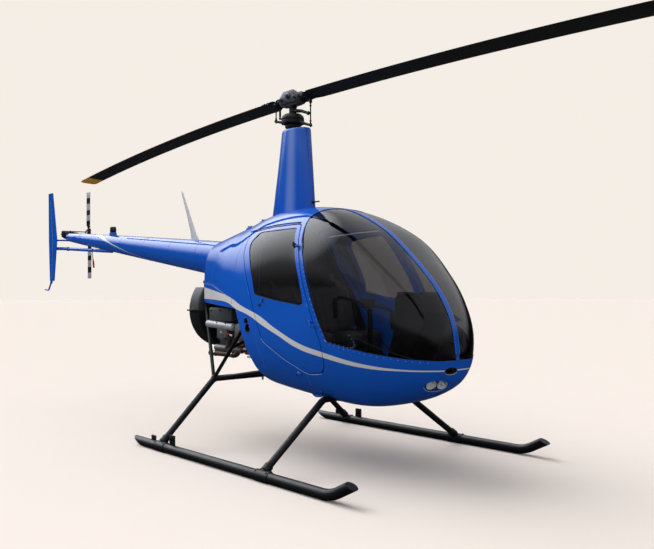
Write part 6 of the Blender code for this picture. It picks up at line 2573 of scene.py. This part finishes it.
        build.add(sector(-math.pi, 0.0))
        rise = math.asin((1.235 - middle) / 0.318)
        for side in Side:
            angles = (0.0, rise) if side is Side.LEFT else (math.pi - rise, math.pi)
            build.paint(SLATE).add(sector(*angles))
            flange = (side.value * 0.190, side.value * 0.326)
            build.paint(SATIN_BLACK).box((flange[0], low + 0.010, middle - 0.006),
                                         (flange[1], high - 0.010, middle + 0.006),
                                         0.002)
            build.paint(BARE_METAL).bolt((side.value * 0.316, (low + high) / 2, middle + 0.006), (0, 0, 1),
                                         0.006, 0.007)
            build.bar(((side.value * 0.318, 0.985, middle), (side.value * 0.364, 0.985, middle)), 0.006, 12)
        build.paint(SATIN_BLACK)
        build.lathe(((0, low + 0.001), (0.20, low + 0.001), (0.20, low + 0.006), (0, low + 0.006)), (0, 0, middle),
                    (0, 1, 0), 48)
        build.done("cooling_scroll", "airframe", ["fan_scroll"])
        fan = Build(CAST_METAL)
        fan.lathe(((0, 0.929), (0.168, 0.929), (0.168, 0.935), (0.060, 0.950), (0.045, 1.020), (0.020, 1.032),
                   (0, 1.034)), (0, 0, middle), (0, 1, 0), 40)
        for angle in circle(18):
            matrix = (Matrix.Translation((0, 0, middle)) @ Matrix.Rotation(angle, 4, "Y"))
            fan.box((-0.051, -0.041, -0.0015), (0.051, 0.041, 0.0015), 0.0,
                    matrix @ Matrix.Translation((0.1135, 0.977, 0.0)) @ Matrix.Rotation(0.35, 4, "X"))
        fan.lathe(((0.150, 1.010), (0.166, 1.010), (0.166, 1.020), (0.150, 1.020), (0.150, 1.010)), (0, 0, middle),
                  (0, 1, 0), 40)
        fan.done("cooling_fan", "airframe", ["fan_wheel"])

    def exhaust(self) -> None:
        """Tail pipe with its clamp, and the muffler above it."""
        build = Build(HOT_METAL)
        build.bar(bent(((-0.250, 0.800, 0.675, 0.0), (-0.250, 0.420, 0.675, 0.050), (-0.230, 0.345, 0.789, 0.0))),
                  0.0215, 24)
        build.lathe(((0.0180, 0.0), (0.0215, 0.0005), (0.0215, 0.004), (0.0180, 0.004), (0.0180, -0.060),
                     (0, -0.060)), (-0.250, 0.800, 0.675), (0, 1, 0), 24)
        build.paint(CAST_METAL)
        build.bar(((-0.236, 0.350, 0.716), (-0.236, 0.362, 0.718), (-0.236, 0.730, 0.724), (-0.236, 0.745, 0.724)),
                  (0.014, 0.028, 0.028, 0.014), 28)
        build.paint(BARE_METAL)
        for y in (0.47, 0.72):
            build.lathe(((0.022, -0.008), (0.025, -0.008), (0.025, 0.008), (0.022, 0.008)), (-0.250, y, 0.675),
                        (0, 1, 0), 24)
        build.done("tail_pipe", "airframe", ["exhaust"])


@dataclass
class LandingGear:
    """Cross tubes and skids with their shoes, saddles and lugs."""

    tread: float = 1.900
    skid: float = 0.034
    strut: float = 0.024
    front: tuple[float, float, float, float] = (0.385, -0.800, 0.457, -0.864)
    rear: tuple[float, float, float, float] = (0.468, 0.420, 0.504, 0.398)

    def make(self) -> None:
        """Build both cross tubes and both skids."""
        for name, (x, y, z, foot) in (("front", self.front), ("rear", self.rear)):
            build = Build(GEAR_BLACK)
            half = self.tread / 2
            corners = ((-half, foot, 0.055, 0), (-x, y, z, 0.090), (x, y, z, 0.090), (half, foot, 0.055, 0))
            build.bar(bent(corners), self.strut - 0.0004, 24)
            for side in Side:
                base = Vector((side.value * half, foot, 0.055))
                knee = Vector((side.value * x, y, z))
                up = (knee - base).normalized()
                build.lathe(((0.0242, 0), (0.031, 0.004), (0.031, 0.050), (0.0242, 0.060)), base + up * 0.012, up, 24)
                for shift in (0.022, 0.045):
                    build.bolt(base + up * shift + Vector((0, -0.030, 0)), (0, -1, 0), 0.007, 0.007)
            build.done(f"{name}_struts", "airframe", [f"cross_tube_{name}"])
        for side in Side:
            self.make_skid(side)

    def slant(self, tube: bmesh.types.BMesh, end: Vector, direction: Vector, slope: float) -> None:
        """Cut one end of a tube on the slant.

        Args:
            tube: The tube's mesh.
            end: Middle of the end.
            direction: Way out of the tube.
            slope: Reach per metre of height above the middle.
        """
        for vert in tube.verts:
            if (vert.co - end).length < self.skid * 1.01 and (vert.co - end).dot(direction) > -1e-4:
                vert.co += direction * (vert.co.z - end.z) * slope

    def make_skid(self, side: Side) -> None:
        """One skid with its upturned tip, shoes, saddles and handling lug.

        Args:
            side: Side of the skid.
        """
        build = Build(GEAR_BLACK)
        x = side.value * self.tread / 2
        route = bent(((x, 0.725, self.skid, 0.0), (x, -1.500, self.skid, 0.300), (x, -1.672, 0.122, 0.0)), 14)
        tube = swept(route, self.skid - 0.0003, 28)
        self.slant(tube, route[0], Vector((0, 1, 0)), 1.9)
        self.slant(tube, route[-1], (route[-1] - route[-2]).normalized(), -0.9)
        build.add(tube)
        for low, high in ((-1.250, -0.650), (0.050, 0.650)):
            build.paint(DARK_METAL).box((x - 0.014, low, 0.0002), (x + 0.014, high, 0.010), 0.002)
        build.paint(GEAR_BLACK)
        for foot in (self.front[3], self.rear[3]):
            build.lathe(((self.skid, -0.075), (self.skid + 0.005, -0.070), (self.skid + 0.005, 0.070),
                         (self.skid, 0.075)), (x, foot, self.skid), (0, 1, 0), 28)
            for y in (foot - 0.055, foot + 0.055):
                for dx in (-0.020, 0.020):
                    build.bolt((x + dx, y, self.skid + 0.031), (dx, 0, 0.034), 0.006, 0.006)
        build.box((x - 0.006, 0.205, self.skid), (x + 0.006, 0.275, 0.140), 0.003)
        build.box((x - 0.006, 0.480, self.skid), (x + 0.006, 0.540, 0.105), 0.003)
        build.bar(((x - 0.016, 0.240, 0.112), (x + 0.016, 0.240, 0.112)), 0.012, 16)
        build.done(f"skid_tube_{side.word}", "airframe", [f"skid_{side.word}"])


# Studio


@dataclass
class Studio:
    """Camera at the photograph's angle, pale floor and soft light."""

    place: tuple[float, float, float] = (-3.944, -5.198, 1.213)
    yaw: float = 41.74
    pitch: float = 1.05
    roll: float = -0.12
    lens: float = 43.11
    backdrop: tuple[float, float, float] = (0.913, 0.855, 0.791)
    film_width: float = 36.0
    floor_radius: float = 90.0
    bright_side: tuple[float, float, float] = (-0.95, 0.15, 0.25)
    bright_back: tuple[float, float, float] = (-0.05, 0.72, 0.69)
    back_reach: tuple[float, float] = (0.82, 1.0)
    skyline: tuple[float, float] = (0.12, 0.34)
    dome_dim: tuple[float, float, float] = (0.430, 0.450, 0.475)
    dome_bright: tuple[float, float, float] = (0.84, 0.87, 0.91)
    back_glow: tuple[float, float, float] = (5.6, 5.65, 5.75)
    mirror_dark: tuple[float, float, float] = (0.010, 0.010, 0.012)
    mirror_pale: tuple[float, float, float] = (0.58, 0.60, 0.64)
    back_mirror: tuple[float, float, float] = (4.4, 4.5, 4.7)
    through_straight: tuple[float, float, float] = (0.34, 0.33, 0.325)
    through_scattered: tuple[float, float, float] = (2.1, 2.1, 2.15)

    def make(self) -> None:
        """Set up camera, floor, lights, world and how light becomes colour."""
        bpy.context.scene.view_settings.view_transform = "Standard"
        bpy.context.scene.view_settings.look = "None"
        self.camera()
        self.floor()
        self.lights()
        self.world()

    def camera(self) -> None:
        """Place the camera and make it the scene's."""
        data = bpy.data.cameras.new("camera")
        data.lens = self.lens
        data.sensor_width = self.film_width
        data.clip_end = 400.0
        item = bpy.data.objects.new("camera", data)
        yaw, pitch = math.radians(self.yaw), math.radians(self.pitch)
        aim = Vector((math.sin(yaw) * math.cos(pitch), math.cos(yaw) * math.cos(pitch), math.sin(pitch)))
        item.matrix_world = (Matrix.Translation(self.place) @ aim.to_track_quat("-Z", "Y").to_matrix().to_4x4()
                             @ Matrix.Rotation(math.radians(self.roll), 4, "Z"))
        bpy.context.scene.collection.objects.link(item)
        bpy.context.scene.camera = item

    def floor(self) -> None:
        """Wide pale floor."""
        bm = bmesh.new()
        bmesh.ops.create_circle(bm, cap_ends=True, segments=96, radius=self.floor_radius)
        item = to_object(bm, "studio_floor")
        item.data.materials.append(FLOOR.material())

    def light(self, name: str, place: Point, aim: Point, size: tuple[float, float], power: float) -> None:
        """One soft rectangular light.

        Args:
            name: Name of the light.
            place: Where it hangs.
            aim: What it points at.
            size: Width and height.
            power: Power in watts.
        """
        data = bpy.data.lights.new(name, "AREA")
        data.shape = "RECTANGLE"
        data.size, data.size_y = size
        data.energy = power
        item = bpy.data.objects.new(name, data)
        item.location = place
        item.rotation_euler = (Vector(aim) - Vector(place)).to_track_quat("-Z", "Y").to_euler()
        bpy.context.scene.collection.objects.link(item)

    def lights(self) -> None:
        """Soft panel high on the camera's side."""
        self.light("sky_panel", (-4.0, -3.0, 9.0), (0.0, 0.0, 1.0), (7.0, 7.0), 60.0)

    @staticmethod
    def likeness(nodes: Nodes, toward: bpy.types.NodeSocket, direction: Point) -> bpy.types.NodeSocket:
        """How nearly a ray goes in one direction.

        Args:
            nodes: Helper of the world's tree.
            toward: Socket with the ray's direction.
            direction: Direction to compare it with.

        Returns:
            Socket with the cosine of the angle between them.
        """
        node = nodes.tree.nodes.new("ShaderNodeVectorMath")
        node.operation = "DOT_PRODUCT"
        nodes.feed(node.inputs[0], toward)
        node.inputs[1].default_value = Vector(direction).normalized()
        return node.outputs["Value"]

    def world(self) -> None:
        """Soft dome for the light, a dark skyline under it for reflections, and the pale backdrop."""
        world = bpy.data.worlds.new("studio")
        world.use_nodes = True
        bpy.context.scene.world = world
        nodes = Nodes(world.node_tree)
        background = world.node_tree.nodes["Background"]
        toward = nodes.add("TexCoord").outputs["Generated"]
        height = nodes.add("SeparateXYZ", Vector=toward).outputs[2]
        facing = nodes.math("MAXIMUM", self.likeness(nodes, toward, self.bright_side), 0.0)
        glow = nodes.mix(nodes.math("MULTIPLY", facing, facing), (*self.dome_dim, 1.0), (*self.dome_bright, 1.0))
        node = nodes.add("MapRange", From_Min=self.back_reach[0], From_Max=self.back_reach[1])
        nodes.feed(node.inputs["Value"], self.likeness(nodes, toward, self.bright_back))
        burst = node.outputs["Result"]
        glow = nodes.mix(burst, glow, (*self.back_glow, 1.0))
        mirrored = nodes.mix(nodes.step(height, *self.skyline), (*self.mirror_dark, 1.0), (*self.mirror_pale, 1.0))
        mirrored = nodes.mix(burst, mirrored, (*self.back_mirror, 1.0))
        path = nodes.add("LightPath")
        scattered = nodes.math("MINIMUM", path.outputs["Diffuse Depth"], 1.0)
        through = nodes.mix(scattered, (*self.through_straight, 1.0), (*self.through_scattered, 1.0))
        seen = nodes.mix(path.outputs["Is Glossy Ray"], glow, mirrored)
        seen = nodes.mix(path.outputs["Is Transmission Ray"], seen, through)
        seen = nodes.mix(path.outputs["Is Camera Ray"], seen, (*self.backdrop, 1.0))
        nodes.feed(background.inputs["Color"], seen)
        background.inputs["Strength"].default_value = 1.0


def main() -> None:
    """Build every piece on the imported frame."""
    logging.basicConfig(level=logging.INFO, format="%(name)s: %(message)s")
    random.seed(3)
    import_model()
    Studio().make()
    for name, finish in (("firewall", LINING), ("cabin_floor", CARPET), ("seat_box", LINING)):
        node = bpy.data.objects[name]
        node.data.materials.clear()
        node.data.materials.append(finish.material())
    hull = Hull()
    for assembly in (Cabin(hull), Furniture(hull), RearBody(hull), Empennage(), MainRotor(), TailRotor(),
                     EngineBay(), LandingGear()):
        assembly.make()


if __name__ == "__main__":
    main()
